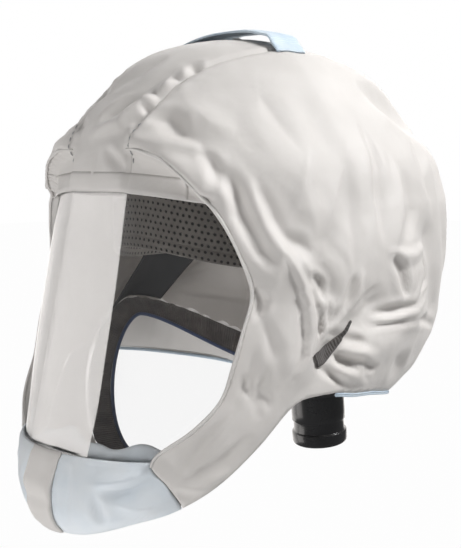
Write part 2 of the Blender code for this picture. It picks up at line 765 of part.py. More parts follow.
# Hose connector, its outside flange and the ring that holds it inside.
end = FLOOR_DROP - HOSE_END_DROP
connector_profile = [
    (HOSE_BORE, FLOOR_DROP - HOSE_TOP_DROP),
    (HOSE_BORE, end),
    (HOSE_RADIUS - 0.0010, end),
    (HOSE_RADIUS + 0.0002, end + 0.0010),
    (HOSE_RADIUS + 0.0005, end + 0.0024),
    (HOSE_RADIUS + 0.0005, end + 0.0100),
    (HOSE_RADIUS - GROOVE_DEPTH, end + 0.0104),
    (HOSE_RADIUS - GROOVE_DEPTH, end + 0.0188),
    (HOSE_RADIUS, end + 0.0192),
    (HOSE_RADIUS, FLOOR_DROP - HOSE_TOP_DROP),
]
hose_connector = body("hose_connector", *leaning(connector_profile, HOSE_SIDES), black_plastic)
low = -GAP - FLANGE_THICK
flange_profile = [(bore, -GAP), (bore, low), (FLANGE_RADIUS - 0.001, low), (FLANGE_RADIUS, low + 0.001), (FLANGE_RADIUS, -GAP)]
hose_flange = body("hose_flange", *leaning(flange_profile, HOSE_SIDES), black_plastic)
low = CLOTH + GAP
ring_profile = [(bore, low), (bore, low + FLANGE_THICK), (FLANGE_RADIUS - 0.001, low + FLANGE_THICK), (FLANGE_RADIUS - 0.001, low)]
retaining_ring = body("retaining_ring", *leaning(ring_profile, HOSE_SIDES), black_plastic)


# Head harness: a padded band round the brow to behind the ears, on two plates that stand on the seal.
def band_point(turn, height, depth=0.0):
    angle = np.radians(turn)
    out = np.stack([np.sin(angle) / BAND_HALF_WIDTH, -np.cos(angle) / BAND_HALF_LENGTH, 0 * angle], -1)
    out /= np.linalg.norm(out, axis=-1, keepdims=True)
    flat = np.stack([BAND_HALF_WIDTH * np.sin(angle), BAND_CENTRE - BAND_HALF_LENGTH * np.cos(angle), height], -1)
    return flat - out * depth


def band_low(turn):
    return -BAND_FRONT_DROP - BAND_SIDE_DROP * ease(0.0, 70.0, np.abs(turn))


turns = np.linspace(-BAND_END_TURN, BAND_END_TURN, 27)
levels = np.linspace(1, 0, 4)[:, None]
turns, levels = np.broadcast_arrays(turns[None, :], levels)
heights = band_low(turns) + BAND_HEIGHT * levels
headband = body("headband", *slab(band_point(turns, heights), band_point(turns, heights, BAND_THICK)), band_foam)

for side, name in ((1, "left"), (-1, "right")):
    turns = side * np.linspace(PLATE_TURN - PLATE_SPREAD, PLATE_TURN + PLATE_SPREAD, 5)
    seat = seal_edge(turns) + seal_outward(turns) * SEAL_BAND * 0.8
    seat[:, 2] += SEAL_THICK + PLATE_THICK
    top = band_point(turns, np.full(5, PLATE_TOP), -GAP)
    lower = band_point(turns, band_low(turns), -GAP)
    middle = lower * 0.55 + seat * 0.45
    inner = np.array([top, lower, middle, seat])
    out = np.stack([side * np.ones(5), 0 * turns, 0 * turns], -1)
    plate = slab(inner + out * PLATE_THICK, inner)
    body("ear_plate_" + name, *plate, black_plastic)

# Light-blue edging under the lower edge of the back, along the cloth's own edge points.
edging = low_turns[low_turns > EDGING_TURN]
edging = np.concatenate([edging, -edging[-2::-1]])
path = cloth_point(edging, np.full(len(edging), 2.0), CLOTH / 2)
path[:, 2] -= BINDING_RADIUS + GAP
hem_binding = body("hem_binding", *tube(path, BINDING_RADIUS, 4, False), blue_knit)

# Elastic strips in the ear gathers.
for side, name in ((1, "left"), (-1, "right")):
    share = np.linspace(0, 1, 8)[None, :]
    across = np.array([-0.5, 0.0, 0.5])[:, None]
    width = STRIP_WIDTH * (0.35 + 0.65 * ease(0.0, 0.7, share))
    turn = STRIP_HIGH_TURN + (STRIP_LOW_TURN - STRIP_HIGH_TURN) * share
    height = -CHIN_DROP * (STRIP_HIGH + (STRIP_LOW - STRIP_HIGH) * share) + across * width * 0.8
    turn = turn - np.degrees(across * width * 0.6 / HALF_WIDTH)
    turn, height = np.broadcast_arrays(turn, height)
    run = height_run(turn, height)
    face = cloth_point(side * turn, run, -(STRIP_LIFT + STRIP_THICK))
    back = cloth_point(side * turn, run, -STRIP_LIFT)
    body("ear_strip_" + name, *slab(face, back), dark_elastic)

# Carrying loop across the crown, with its feet on the cloth as it is built.
tree = BVHTree.FromPolygons([tuple(point) for point in sheet_points], sheet_faces)


def crown_top(x, y):
    place = tree.ray_cast(Vector((x, y, CROWN_HEIGHT + 0.1)), Vector((0.0, 0.0, -1.0)))[0]
    return place.z


loop_steps = [0.0, 0.45, 0.84, 0.93, 1.0]
loop_across = [-step for step in reversed(loop_steps[1:])] + loop_steps
loop_rises = [0.95, 1.0, 0.92, 0.5, 0.0]
loop_heights = list(reversed(loop_rises[1:])) + loop_rises
depths = [LOOP_PLACE + LOOP_WIDTH * share for share in (-0.5, 0.0, 0.5)]
under = []
for step, rise in zip(loop_across, loop_heights):
    x = step * LOOP_HALF_SPAN
    foot = [crown_top(x, y) + 2 * GAP for y in depths]
    under.append([(x, y, z + (CROWN_HEIGHT + LOOP_RISE - z) * rise) for y, z in zip(depths, foot)])
under = np.array(under)
above = under + np.array([0.0, 0.0, LOOP_THICK])
carry_loop = body("carry_loop", *slab(above, under), loop_web)
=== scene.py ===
"""Looks of the protective hood: finer cloth, visor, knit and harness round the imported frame."""

import math
from collections import namedtuple

import bmesh
import bpy
import numpy as np
from mathutils import Matrix, Vector
from mathutils.bvhtree import BVHTree
from mathutils.geometry import delaunay_2d_cdt


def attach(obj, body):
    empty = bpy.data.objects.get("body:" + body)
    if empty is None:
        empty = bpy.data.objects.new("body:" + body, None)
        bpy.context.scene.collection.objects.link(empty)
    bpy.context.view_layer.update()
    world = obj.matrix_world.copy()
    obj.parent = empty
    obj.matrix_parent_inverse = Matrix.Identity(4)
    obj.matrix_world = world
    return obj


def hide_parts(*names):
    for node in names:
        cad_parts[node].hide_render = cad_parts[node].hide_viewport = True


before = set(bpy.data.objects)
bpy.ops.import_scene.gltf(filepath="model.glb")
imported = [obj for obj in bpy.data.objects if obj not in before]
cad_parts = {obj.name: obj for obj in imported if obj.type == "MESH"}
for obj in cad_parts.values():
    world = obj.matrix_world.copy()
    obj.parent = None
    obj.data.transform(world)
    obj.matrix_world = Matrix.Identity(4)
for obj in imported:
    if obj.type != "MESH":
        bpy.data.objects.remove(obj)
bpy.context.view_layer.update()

# Main sizes of the hood, outside.
HALF_WIDTH = 0.129
BROW_REACH = 0.136
BACK_REACH = 0.164
CROWN_HEIGHT = 0.138
BROW_HEIGHT = 0.034
TEMPLE_DIP = 0.009
CHIN_DROP = 0.181
BAG_DROP = 0.110
PLAN_CENTRE = -0.017

# Thickness of the CAD's cloth, and the clearance between pieces that are pressed together.
CLOTH = 0.0013
GAP = 0.0003

# Visor: where its lower edge is, and how far it is sewn in under the cloth.
VISOR_BOTTOM = 0.128
VISOR_TUCK = 0.006
VISOR_GAP = 0.0010
CHIN_TUCK = 0.004
CHIN_SEAM_GAP = 0.6

# Head harness.
BAND_HALF_WIDTH = 0.077
BAND_HALF_LENGTH = 0.094
BAND_CENTRE = -0.009
BAND_HEIGHT = 0.044
BAND_THICK = 0.004
BAND_END_TURN = 118.0
BAND_FRONT_DROP = 0.0035
BAND_SIDE_DROP = 0.0135
PLATE_THICK = 0.0025
PLATE_TURN = 92.0
PLATE_SPREAD = 17.0
PLATE_TOP = 0.012

# Neck seal, an elastic band round a saddle-shaped loop.
SEAL_HALF_WIDTH = 0.083
SEAL_FRONT = 0.098
SEAL_BACK = 0.032
SEAL_EAR_DROP = 0.062
SEAL_CHIN_DROP = 0.148
SEAL_NAPE_DROP = 0.100
SEAL_BAND = 0.017
SEAL_THICK = 0.0018
BINDING_RADIUS = 0.0013

# Hose connector.
HOSE_RADIUS = 0.021
HOSE_BORE = 0.0175
HOSE_PLACE = 0.078
HOSE_END_DROP = 0.167
HOSE_TOP_DROP = 0.104
FLOOR_DROP = 0.1225
HOSE_LEAN = 6.0
FLANGE_RADIUS = 0.0245
FLANGE_THICK = 0.003

# Carrying loop on the crown.
LOOP_WIDTH = 0.027
LOOP_HALF_SPAN = 0.060
LOOP_THICK = 0.0015
LOOP_PLACE = -0.015

# Elastic strip at each ear, and where the back's edging starts.
STRIP_THICK = 0.0015
EDGING_TURN = 80.0


def table(text):
    """Numbers of a table, one row to a line."""
    return np.array([[float(word) for word in line.split()] for line in text.strip().splitlines()])


# Crown sections: level from the top to the brow line, then shares of the rise above the brow line, of
# BROW_REACH, of BACK_REACH and of HALF_WIDTH.
CROWN = table("""
    0 1 0 0 0
    0.12 0.985 0.22 0.11 0.2
    0.25 0.94 0.41 0.26 0.36
    0.38 0.875 0.55 0.46 0.48
    0.5 0.77 0.67 0.67 0.59
    0.62 0.62 0.78 0.81 0.69
    0.74 0.46 0.9 0.925 0.8
    0.87 0.24 0.97 0.995 0.92
    1 0 1 1.02 0.975
""")

# Sections of the face and cheeks below the brow line: share of CHIN_DROP, of BROW_REACH and of HALF_WIDTH.
FACE = table("""
    -0.19 1 0.97
    0.11 1.08 1.01
    0.33 1.147 1.02
    0.55 1.213 1.01
    0.71 1.27 0.96
    0.83 1.31 0.88
    0.92 1.3 0.8
    1 1.24 0.72
""")

# Sections of the back below the brow line: share of BAG_DROP, of BACK_REACH and of HALF_WIDTH.
BAG = table("""
    -0.3 0.99 0.97
    0 1.015 1
    0.3 1.02 1.005
    0.5 1 0.99
    0.7 0.93 0.96
    0.85 0.84 0.915
    0.94 0.75 0.87
    1 0.67 0.83
""")

# Turn of the face opening's edge at the brow line and at its lowest corner.
EDGE_TOP_TURN = 38.0
EDGE_LOW_TURN = 46.5

# Half angle of the face opening, in degrees of turn from the middle of the face, by share of CHIN_DROP.
OPENING = table("""
    -0.19 38
    -0.08 45
    0.04 50.5
    0.13 53.5
    0.26 52
    0.4 50
    0.5 48
    0.6 42.5
    0.71 34.5
    0.79 41
    0.87 46.5
    1 48
""")

# Lower edge of the cloth: share of CHIN_DROP by degrees of turn from the middle of the chin.
HEM = table("""
    0 1
    18 0.985
    34 0.93
    46.5 0.87
    53 0.8
    60 0.665
    67 0.53
    75 0.5
    90 0.525
    112 0.575
    135 0.62
    180 0.645
""")

# Slope of the neck seal's band, in degrees above level, by degrees of turn from the chin.
SEAL_LIFT = table("""
    0 -8
    45 6
    90 36
    135 62
    180 72
""")

# Main folds, from one place to another: turn and share of CHIN_DROP of each, then the width and the rise
# as shares of HALF_WIDTH. A rise below nothing is a dent. Each is on both sides.
FOLDS = table("""
    22 -0.36 42 -0.2 0.19 0.03
    44 -0.14 58 0.06 0.18 0.024
    64 0.08 64 0.36 0.2 0.036
    76 -0.02 78 0.14 0.18 -0.028
    92 0.22 77 0.36 0.17 -0.05
    98 0.36 88 0.4 0.17 0.026
    124 -0.5 146 -0.42 0.24 -0.03
    118 0 126 0.28 0.19 -0.04
    106 0.06 108 0.28 0.2 0.028
    150 -0.2 156 0.42 0.26 -0.04
    172 -0.1 174 0.4 0.24 0.03
    80 -0.46 86 -0.16 0.26 -0.024
""")


def along(rows, column, at):
    """Smooth curve through one column of a table, read at places in its first column."""
    places, values = rows[:, 0], rows[:, column]
    tangent = np.gradient(values, places)
    at = np.clip(at, places[0], places[-1])
    i = np.clip(np.searchsorted(places, at, side="right") - 1, 0, len(places) - 2)
    span = places[i + 1] - places[i]
    t = (at - places[i]) / span
    return (
        (2 * t**3 - 3 * t**2 + 1) * values[i]
        + (t**3 - 2 * t**2 + t) * span * tangent[i]
        + (3 * t**2 - 2 * t**3) * values[i + 1]
        + (t**3 - t**2) * span * tangent[i + 1]
    )


def ease(low, high, at):
    t = np.clip((at - low) / (high - low), 0.0, 1.0)
    return t * t * (3 - 2 * t)


def plan_point(turn, front, back, width):
    """Point of a plan outline at a turn from the front, in degrees, with its own front, back and half width."""
    angle = np.radians(turn)
    forward = np.cos(angle)
    reach = np.where(forward > 0, front + PLAN_CENTRE, back - PLAN_CENTRE)
    return width * np.sin(angle), PLAN_CENTRE - reach * forward


def brow_height(turn):
    return BROW_HEIGHT - TEMPLE_DIP * ease(10.0, 60.0, np.abs(turn))


def crown_point(turn, level):
    """Bare outer surface above the brow line."""
    low = brow_height(turn)
    height = low + (CROWN_HEIGHT - low) * along(CROWN, 1, level)
    front = BROW_REACH * along(CROWN, 2, level)
    back = BACK_REACH * along(CROWN, 3, level)
    width = HALF_WIDTH * along(CROWN, 4, level)
    x, y = plan_point(turn, front, back, width)
    return np.stack([x, y, height + 0 * x], -1)


def side_point(turn, height):
    """Bare outer surface below the brow line."""
    turn, height = np.broadcast_arrays(np.asarray(turn, float), np.asarray(height, float))
    drop = -height / CHIN_DROP
    fall = -height / BAG_DROP
    front = BROW_REACH * along(FACE, 1, drop)
    face_x, face_y = plan_point(turn, front, BACK_REACH, HALF_WIDTH * along(FACE, 2, drop))
    back = BACK_REACH * along(BAG, 1, fall)
    bag_x, bag_y = plan_point(turn, front, back, HALF_WIDTH * along(BAG, 2, fall))
    share = ease(72.0, 104.0, np.abs(turn))
    return np.stack([face_x + (bag_x - face_x) * share, face_y + (bag_y - face_y) * share, height], -1)


def opening_turn(height):
    return along(OPENING, 1, -np.asarray(height, float) / CHIN_DROP)


def hem_height(turn):
    return -CHIN_DROP * along(HEM, 1, np.abs(turn))


def bare_point(turn, run):
    """Bare outer surface. run is 0 at the top, 1 at the brow line and 2 at the lower edge."""
    turn, run = np.broadcast_arrays(np.asarray(turn, float), np.asarray(run, float))
    low = brow_height(turn)
    below = np.clip(run - 1, 0, None)
    height = low + (hem_height(turn) - low) * below
    brow_step = crown_point(turn, np.ones_like(low)) - side_point(turn, low)
    side = side_point(turn, height) + brow_step * (1 - ease(0.0, 0.026, low - height))[..., None]
    crown = crown_point(turn, np.clip(run, 0.0, 1.0))
    return np.where((run <= 1)[..., None], crown, side)


def bare_normal(turn, run):
    """Outward direction of the bare surface."""
    run = np.maximum(np.asarray(run, float), 0.02)
    across = bare_point(turn + 0.4, run) - bare_point(turn - 0.4, run)
    down = bare_point(turn, run + 0.004) - bare_point(turn, run - 0.004)
    normal = np.cross(down, across)
    return normal / np.linalg.norm(normal, axis=-1, keepdims=True)


def fold_rise(turn, height):
    """Sum of the folds at a place, in metres outwards."""
    drop = -np.asarray(height, float) / CHIN_DROP
    turn = np.abs(turn)
    total = np.zeros(np.broadcast(turn, drop).shape)
    for turn_a, drop_a, turn_b, drop_b, width, rise in FOLDS:
        step_turn = np.radians(turn_b - turn_a) * HALF_WIDTH
        step_drop = (drop_b - drop_a) * CHIN_DROP
        at_turn = np.radians(turn - turn_a) * HALF_WIDTH
        at_drop = (drop - drop_a) * CHIN_DROP
        length = math.hypot(step_turn, step_drop)
        run = (at_turn * step_turn + at_drop * step_drop) / length
        off = (at_turn * step_drop - at_drop * step_turn) / length
        past = np.maximum(np.maximum(-run, run - length), 0.0)
        half = width * HALF_WIDTH / 2
        total = total + rise * HALF_WIDTH * np.exp(-((off / half) ** 2) - (past / half) ** 2)
    return total


def height_run(turn, height):
    """run value of a height below the brow line."""
    low = brow_height(turn)
    return 1 + (height - low) / (hem_height(turn) - low)


def hem_turns(count):
    """Turns that part one side of the lower edge into equal lengths."""
    fine = np.linspace(EDGE_LOW_TURN, 180.0, 400)
    places = bare_point(fine, np.full(400, 2.0))
    length = np.concatenate([[0.0], np.cumsum(np.linalg.norm(np.diff(places, axis=0), axis=1))])
    return np.interp(np.linspace(0, length[-1], count), length, fine)


def cloth_point(turn, run, depth=0.0):
    """Point of the cloth, folds and all, at a depth below its outer face."""
    bare = bare_point(turn, run)
    inset = ease(0.0, 14.0, np.abs(turn) - opening_turn(bare[..., 2]))
    rise = fold_rise(turn, bare[..., 2])
    rise = np.where(rise < 0, rise * inset, rise) * ease(0.3, 0.7, run)
    return bare + bare_normal(turn, run) * (rise - depth)[..., None]


def seal_edge(turn):
    """Inner edge of the neck seal."""
    angle = np.radians(turn)
    forward = np.cos(angle)
    mid = (SEAL_BACK - SEAL_FRONT) / 2
    x = SEAL_HALF_WIDTH * np.sin(angle)
    y = mid - (SEAL_BACK + SEAL_FRONT) / 2 * forward
    end = np.where(forward > 0, SEAL_CHIN_DROP, SEAL_NAPE_DROP)
    low = SEAL_EAR_DROP + (end - SEAL_EAR_DROP) * np.abs(forward) ** 1.6
    return np.stack([x, y, -low], -1)


def seal_outward(turn):
    """Direction in which the seal's band runs out from its inner edge: nearly upright at the nape."""
    angle = np.radians(turn)
    lift = np.radians(along(SEAL_LIFT, 1, np.abs(turn)))
    x = np.sin(angle) / SEAL_HALF_WIDTH
    y = -np.cos(angle) / ((SEAL_BACK + SEAL_FRONT) / 2)
    size = np.hypot(x, y)
    return np.stack([x / size * np.cos(lift), y / size * np.cos(lift), np.sin(lift)], -1)


def height_run_any(turn, height):
    """run value of a height above or below the brow line."""
    low = float(brow_height(turn))
    if height <= low:
        return float(height_run(turn, height))
    levels = np.linspace(1.0, 0.0, 200)
    heights = low + (CROWN_HEIGHT - low) * along(CROWN, 1, levels)
    return float(np.interp(height, heights, levels))


# Thickness of the finished cloth and of the film, and the step of the finished net.
EDGE = 0.0012
FILM = 0.0008
STEP = 0.0022

# Seam between the middle and side panels of the crown: y and x.
SEAM = np.array([
    (-0.170, 0.0300), (-0.118, 0.0312), (-0.105, 0.0335), (-0.092, 0.0375), (-0.075, 0.0450),
    (-0.058, 0.0510), (-0.040, 0.0550), (-0.010, 0.0560), (0.050, 0.0500), (0.120, 0.0400), (0.180, 0.0330),
])

# Gain of every crease, the most that the side's creases may add up to, and their share on the far side.
CREASE_GAIN = 1.9
CREASE_LIMIT = 0.0045
FAR_SIDE = 0.85

# Lip and recess at the temple's edge, the groove of a crown seam and the puckers beside it.
LIP = 0.0056
RECESS = 0.0040
GROOVE = 0.0013
PUCKER = 0.0004

# Heights of the cloth's broad and fine unevenness and of its drapes.
BROAD, FINE, DRAPE = 0.0006, 0.00022, 0.0012

Crease = namedtuple("Crease", "before after rise places")


def creases(text, size):
    """Creases from rows of numbers, with size numbers to a place: 2 on the sides and 3 on the crown."""
    made = []
    for before, after, rise, *numbers in (list(map(float, line.split())) for line in text.strip().splitlines()):
        places = np.array(numbers).reshape(-1, size)
        if size == 2:
            places = np.array([bare_point(turn, height_run_any(turn, -drop * CHIN_DROP)) for turn, drop in places])
        made.append(Crease(before, after, rise, places))
    return made


# Creases and rolls of the sides: the reach in mm on the face's side and on the back's side, the rise in mm,
# and then places, each as turn and share of CHIN_DROP.
CREASES = creases("""
    5.5 5 -3.4 46 -0.27 49.5 -0.12 55.5 0 61 0.085
    4 4.5 -2.2 38 -0.34 43 -0.25 47 -0.19 49.5 -0.14
    4.5 7 2.4 52 -0.23 56 -0.08 60.5 0 65 0.08
    11 2.6 3.6 60 0 64.5 0.08 68.2 0.19 69.4 0.29 68.6 0.36 65 0.46
    2.5 5 -2.6 65 0.02 69 0.1 72.2 0.19 73 0.28 72 0.36
    6 6 -0.9 53.5 -0.21 57 -0.1 60.7 -0.02
    4 6 -1.2 61.5 -0.05 70 0.01
    3 4.5 -3.2 69.5 0.08 73.4 0.12 74.4 0.18
    2.5 3.5 -2.2 85.7 0.1 83.7 0.18 81.2 0.24
    3.5 3 1.2 88 0.08 87 0.16 84 0.235
    2.6 3.6 -2.4 93.9 0.15 88.9 0.22 84.9 0.25
    2.6 3.4 -2.8 118 0.19 108 0.235 98 0.245 86.9 0.25
    3.4 3.4 1.4 112 0.25 101 0.275 90 0.275
    2.5 4 -2 134 0.37 118 0.32 102 0.29 87.2 0.285
    3.5 5 -4 99 0.04 101.5 0.1 103.4 0.2
    6 3 -3.8 112.5 0.04 112 0.14 106.5 0.22
    2.6 2.6 2.2 106.4 0.06 106 0.14 104.9 0.21
    3 5 1.6 97 0.025 104.7 0.045 114 0.02
    5 5 -2.4 98.5 -0.42 97.7 -0.31 96.2 -0.18 95.4 -0.02
    5 6 1.8 104 -0.3 103 -0.17 100.5 -0.04 98.6 0.02
    6 7 -1.4 108 -0.26 108 -0.12 104 0
    8 8 -1.2 87 -0.3 85.4 -0.16 85.2 0.1
    8 9 1.2 71.7 -0.3 68.4 -0.2 72.9 -0.03
    5 6 1.6 76 0 78.5 0.09 80 0.16
    1.9 2.4 -2.6 75 0.19 73.9 0.24 73 0.3
    2 2.2 -2.4 77.2 0.18 76 0.28
    2 2.2 -2.4 79.4 0.2 77.6 0.28
    2 2.2 -2 81.6 0.2 79.4 0.275
    3.2 4.2 -4 89.5 0.335 82 0.32 76.4 0.3
    3 4 -3.6 95.4 0.45 86 0.41 78 0.375 72 0.37
    2.6 3.6 -2.4 83 0.49 77 0.43 72 0.39
    3.5 3 2.6 95 0.385 84 0.362 76 0.335
    3.5 3 2 93 0.5 84 0.45 77 0.41
    7 9 -1.6 104 0.43 114 0.5
    4.5 5 -1.9 56.7 0.22 60.5 0.33 62.8 0.43
    2.6 3.6 -1.4 52.4 0.4 55 0.48 56.2 0.52
    2.6 3 -1.2 58.4 0.46 60.4 0.53
    2.6 3 -1.9 54.6 0.12 56.6 0.17 55.2 0.23
    3 5 -1.4 49.5 0.56 46 0.65 43 0.74
    30 8 3.2 53 0.16 52 0.28 50 0.4 48 0.5 42.8 0.6 37 0.68
    3 5 -1.5 56 0.27 54.5 0.42 51 0.54 46.5 0.64
    3 5 -2 46 0.74 52 0.7 57 0.62
    4 4 1.5 42 0.78 50 0.8 55 0.74
    3 4 -1.6 60 0.36 57 0.46 58 0.56
    6 6 -2 19.6 -0.44 26.6 -0.44 33 -0.37
    3.6 4.6 2.2 16.5 -0.365 25.6 -0.355 32 -0.345 40 -0.33
    8 8 1.2 34 -0.48 42 -0.42 50 -0.4
    13 13 -3.2 112 -0.58 126 -0.5 140 -0.43
    9 9 -1.1 60 -0.52 66 -0.42 70 -0.34
    9 10 -1.6 124 -0.42 120 -0.26 122 -0.1
    10 9 1.8 140 -0.38 136 -0.14 138 0.16
    8 10 -2.2 150 -0.16 148 0.1 152 0.4
    8 9 2 164 -0.3 163 0 166 0.36
    5 6 -2 142 0.3 148 0.42 150 0.56
    5 6 -2 160 0.36 162 0.48 160 0.6
    5 5 1.6 172 0.3 173 0.46 174 0.6
""", 2)

# The same on the middle panel, in metres, not mirrored.
CROWN_CREASES = creases("""
    6 5 2.2 -0.008 -0.128 0.07 0.016 -0.124 0.077 0.028 -0.106 0.094 0.036 -0.086 0.111
    5 5 -2.4 -0.006 -0.124 0.079 0.004 -0.119 0.086 0.014 -0.11 0.095
    3 4 -1.4 0.01 -0.131 0.061 0.021 -0.131 0.053 0.029 -0.131 0.047
    4 4.6 -1.5 0.033 -0.12 0.076 0.025 -0.122 0.076
    4 4.6 -1.5 0.032 -0.112 0.087 0.026 -0.115 0.084
    4 4.6 -1.5 0.033 -0.106 0.092 0.024 -0.104 0.098
    4 4.6 -1.5 0.037 -0.092 0.104 0.029 -0.092 0.106
    4 4.6 -1.5 0.043 -0.082 0.11 0.033 -0.082 0.114
    4 4.6 -1.5 -0.033 -0.121 0.076 -0.024 -0.122 0.077
    4 4.6 -1.5 -0.036 -0.1 0.099 -0.027 -0.104 0.098
    4 4.6 -1.5 -0.044 -0.082 0.11 -0.034 -0.084 0.113
    8 8 -1.5 -0.02 -0.1 0.101 -0.004 -0.092 0.11 0.01 -0.078 0.121
    9 9 -1.4 -0.02 0.07 0.125 0 0.075 0.125 0.022 0.07 0.124
    9 9 -1.6 0 0.1 0.11 0.006 0.135 0.07 0 0.15 0.03
""", 3)

# Front edge of the cloth over each temple: turn and share of CHIN_DROP.
ARCH = np.array([(12.0, -0.335), (16.0, -0.330), (20.9, -0.318), (27.6, -0.290), (32.4, -0.245), (38.0, -0.180)])


def crease_rise(points, normals, crease):
    """Rise of one crease at many points, in metres."""
    places = crease.places
    best = np.full(len(points), 9.0)
    off = np.zeros(len(points))
    share = np.zeros(len(points))
    lengths = [0.0] + [float(np.linalg.norm(b - a)) for a, b in zip(places, places[1:])]
    total = sum(lengths)
    gone = 0.0
    for a, b in zip(places, places[1:]):
        span = b - a
        size = float(np.linalg.norm(span))
        t = np.clip((points - a) @ span / size**2, 0.0, 1.0)
        gap = points - (a + t[:, None] * span)
        far = np.linalg.norm(gap, axis=1)
        nearer = far < best
        best = np.where(nearer, far, best)
        hand = np.einsum("ij,ij->i", np.cross(span / size, gap), normals)
        off = np.where(nearer, hand, off)
        share = np.where(nearer, (gone + t * size) / total, share)
        gone += size
    reach = np.where(off > 0, crease.before, crease.after) * 0.001
    fade = 0.12 + 0.88 * np.sin(np.pi * np.clip(share, 0.0, 1.0)) ** 0.8
    near = best / (reach * (0.55 + 0.45 * fade))
    profile = 1.30 * np.exp(-(near**1.15)) - 0.30 * np.exp(-(((near - 1.8) / 0.8) ** 2))
    return crease.rise * CREASE_GAIN * 0.001 * profile * fade


def creased(points, normals, table):
    """Sum of a table's creases at many points, in metres."""
    return sum((crease_rise(points, normals, crease) for crease in table), np.zeros(len(points)))


def crumple(points):
    """Small unevenness of the cloth, in metres."""
    x, y, z = (points * 1000).T
    x = np.abs(x + 3.0) * 0.35 + x * 0.65
    a = x * 0.055 + 0.9 * np.sin(z * 0.043 + y * 0.021)
    b = z * 0.072 + 0.8 * np.sin(y * 0.037 - x * 0.029)
    c = y * 0.061 + 0.7 * np.sin(x * 0.049 + z * 0.031)
    broad = np.sin(a + 0.6 * b) * np.sin(b - 0.5 * c + 1.3) + 0.6 * np.sin(c * 1.4 + a)
    fine = np.sin(2.9 * a + 2.1 * c) * np.sin(3.3 * b + 0.7) * np.sin(2.2 * c - a + 0.4)
    return broad * BROAD + fine * FINE


def drapes(points):
    """Long narrow ridges that the cloth's pull makes down the sides, in metres."""
    x, y, z = (points * 1000).T
    across = y * 0.80 - z * 0.42 + 0.25 * np.abs(x)
    down = z * 0.80 + y * 0.42
    bend = 1.5 * np.sin(down * 0.021 + 0.6) + 0.8 * np.sin(across * 0.033 - down * 0.028 + np.sign(x))
    line = np.sin(across * 0.105 + bend) * np.cos(across * 0.041 - down * 0.016 + 1.0)
    patch = np.sin(across * 0.047 + down * 0.031 + 2.0) * np.sin(down * 0.043 - across * 0.019 + 0.4)
    patch = 0.5 + 0.5 * patch
    return DRAPE * ((1 - np.abs(line)) ** 3) * patch**1.5


def arch_height(turn):
    return -CHIN_DROP * np.interp(np.abs(turn), ARCH[:, 0], ARCH[:, 1])


def seam_distance(points):
    """Distance outside the crown seam, seen from above, in metres."""
    return np.abs(points[:, 0]) - np.interp(points[:, 1], SEAM[:, 0], SEAM[:, 1])


def fine_rise(points, normals, turn, run):
    """Folds finer than the CAD's, in metres outwards."""
    flip = np.where(points[:, :1] < 0, -1.0, 1.0) * np.array([1.0, 0, 0]) + np.array([0.0, 1, 1])
    here, facing = points * flip, normals * flip
    total = (crumple(points) + drapes(points) * ease(0.15, 0.6, run)) * (0.35 + 0.65 * ease(0.2, 0.7, run))
    d = seam_distance(points)
    side = CREASE_LIMIT * np.tanh(creased(here, facing, CREASES) / CREASE_LIMIT)
    total += np.where(points[:, 0] < 0, FAR_SIDE, 1.0) * side * ease(-0.004, 0.004, d)
    total += creased(points, normals, CROWN_CREASES) * ease(0.004, -0.001, d)
    z = points[:, 2]
    above = z - arch_height(turn)
    wide = np.abs(turn)
    near_arch = ease(12.0, 17.0, wide) * (1 - ease(38.0, 43.0, wide)) * (z > BROW_HEIGHT - 0.02)
    lip = np.where(above > 0, LIP * np.exp(-((above / 0.015) ** 2)), 0.0)
    low = np.clip(-above / np.maximum(arch_height(turn) - brow_height(turn), 0.004), 0, 1)
    recess = np.where(above <= 0, -RECESS * np.sin(np.pi * np.clip(low, 0, 1)) ** 0.5 * (1 - 0.4 * low), 0.0)
    soft = ease(-0.0014, 0.0014, above)
    total += near_arch * (lip * soft + recess * (1 - soft))
    pucker = 0.6 + 0.4 * np.sin(points[:, 2] * 620 + points[:, 1] * 380)
    total += -GROOVE * np.exp(-((d / 0.0017) ** 2))
    total += PUCKER * pucker * np.exp(-(((np.abs(d) - 0.0045) / 0.0024) ** 2))
    to_hem = z - hem_height(turn)
    total *= np.where(run > 1, ease(0.0, 0.012, to_hem), 1.0) * ease(0.02, 0.14, run)
    return total


def fine_point(turn, run, lift=0.0):
    """Outer face of the finished cloth."""
    turn, run = np.broadcast_arrays(np.asarray(turn, float), np.asarray(run, float))
    shape = turn.shape
    turn, run = turn.ravel(), run.ravel()
    bare = bare_point(turn, run)
    normal = bare_normal(turn, run)
    coarse = cloth_point(turn, run)
    done = coarse + normal * (fine_rise(coarse, normal, turn, run) + lift)[:, None]
    return done.reshape(shape + (3,))


def riding(name, mesh, surface, nodes):
    """Object of a mesh, on the root body and the CAD nodes that it stands for."""
    mesh.materials.append(surface)
    made = bpy.data.objects.new(name, mesh)
    bpy.context.scene.collection.objects.link(made)
    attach(made, "root")
    if nodes:
        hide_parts(*nodes)
    return made


def piece(name, body, surface, nodes=(), uv=None):
    """New part of the scene, riding on the root body. body is points, faces and perhaps texture places."""
    points, faces, *places = body
    uv = places[0] if places else uv
    mesh = bpy.data.meshes.new(name)
    mesh.from_pydata([tuple(map(float, point)) for point in points], [], [tuple(map(int, face)) for face in faces])
    if uv is not None:
        layer = mesh.uv_layers.new(name="UVMap")
        corner = np.zeros(len(mesh.loops), dtype=np.int64)
        mesh.loops.foreach_get("vertex_index", corner)
        layer.data.foreach_set("uv", np.asarray(uv, float)[corner].ravel())
    work = bmesh.new()
    work.from_mesh(mesh)
    bmesh.ops.recalc_face_normals(work, faces=work.faces)
    if work.calc_volume(signed=True) < 0:
        bmesh.ops.reverse_faces(work, faces=work.faces)
    work.to_mesh(mesh)
    work.free()
    mesh.polygons.foreach_set("use_smooth", [True] * len(mesh.polygons))
    return riding(name, mesh, surface, nodes)


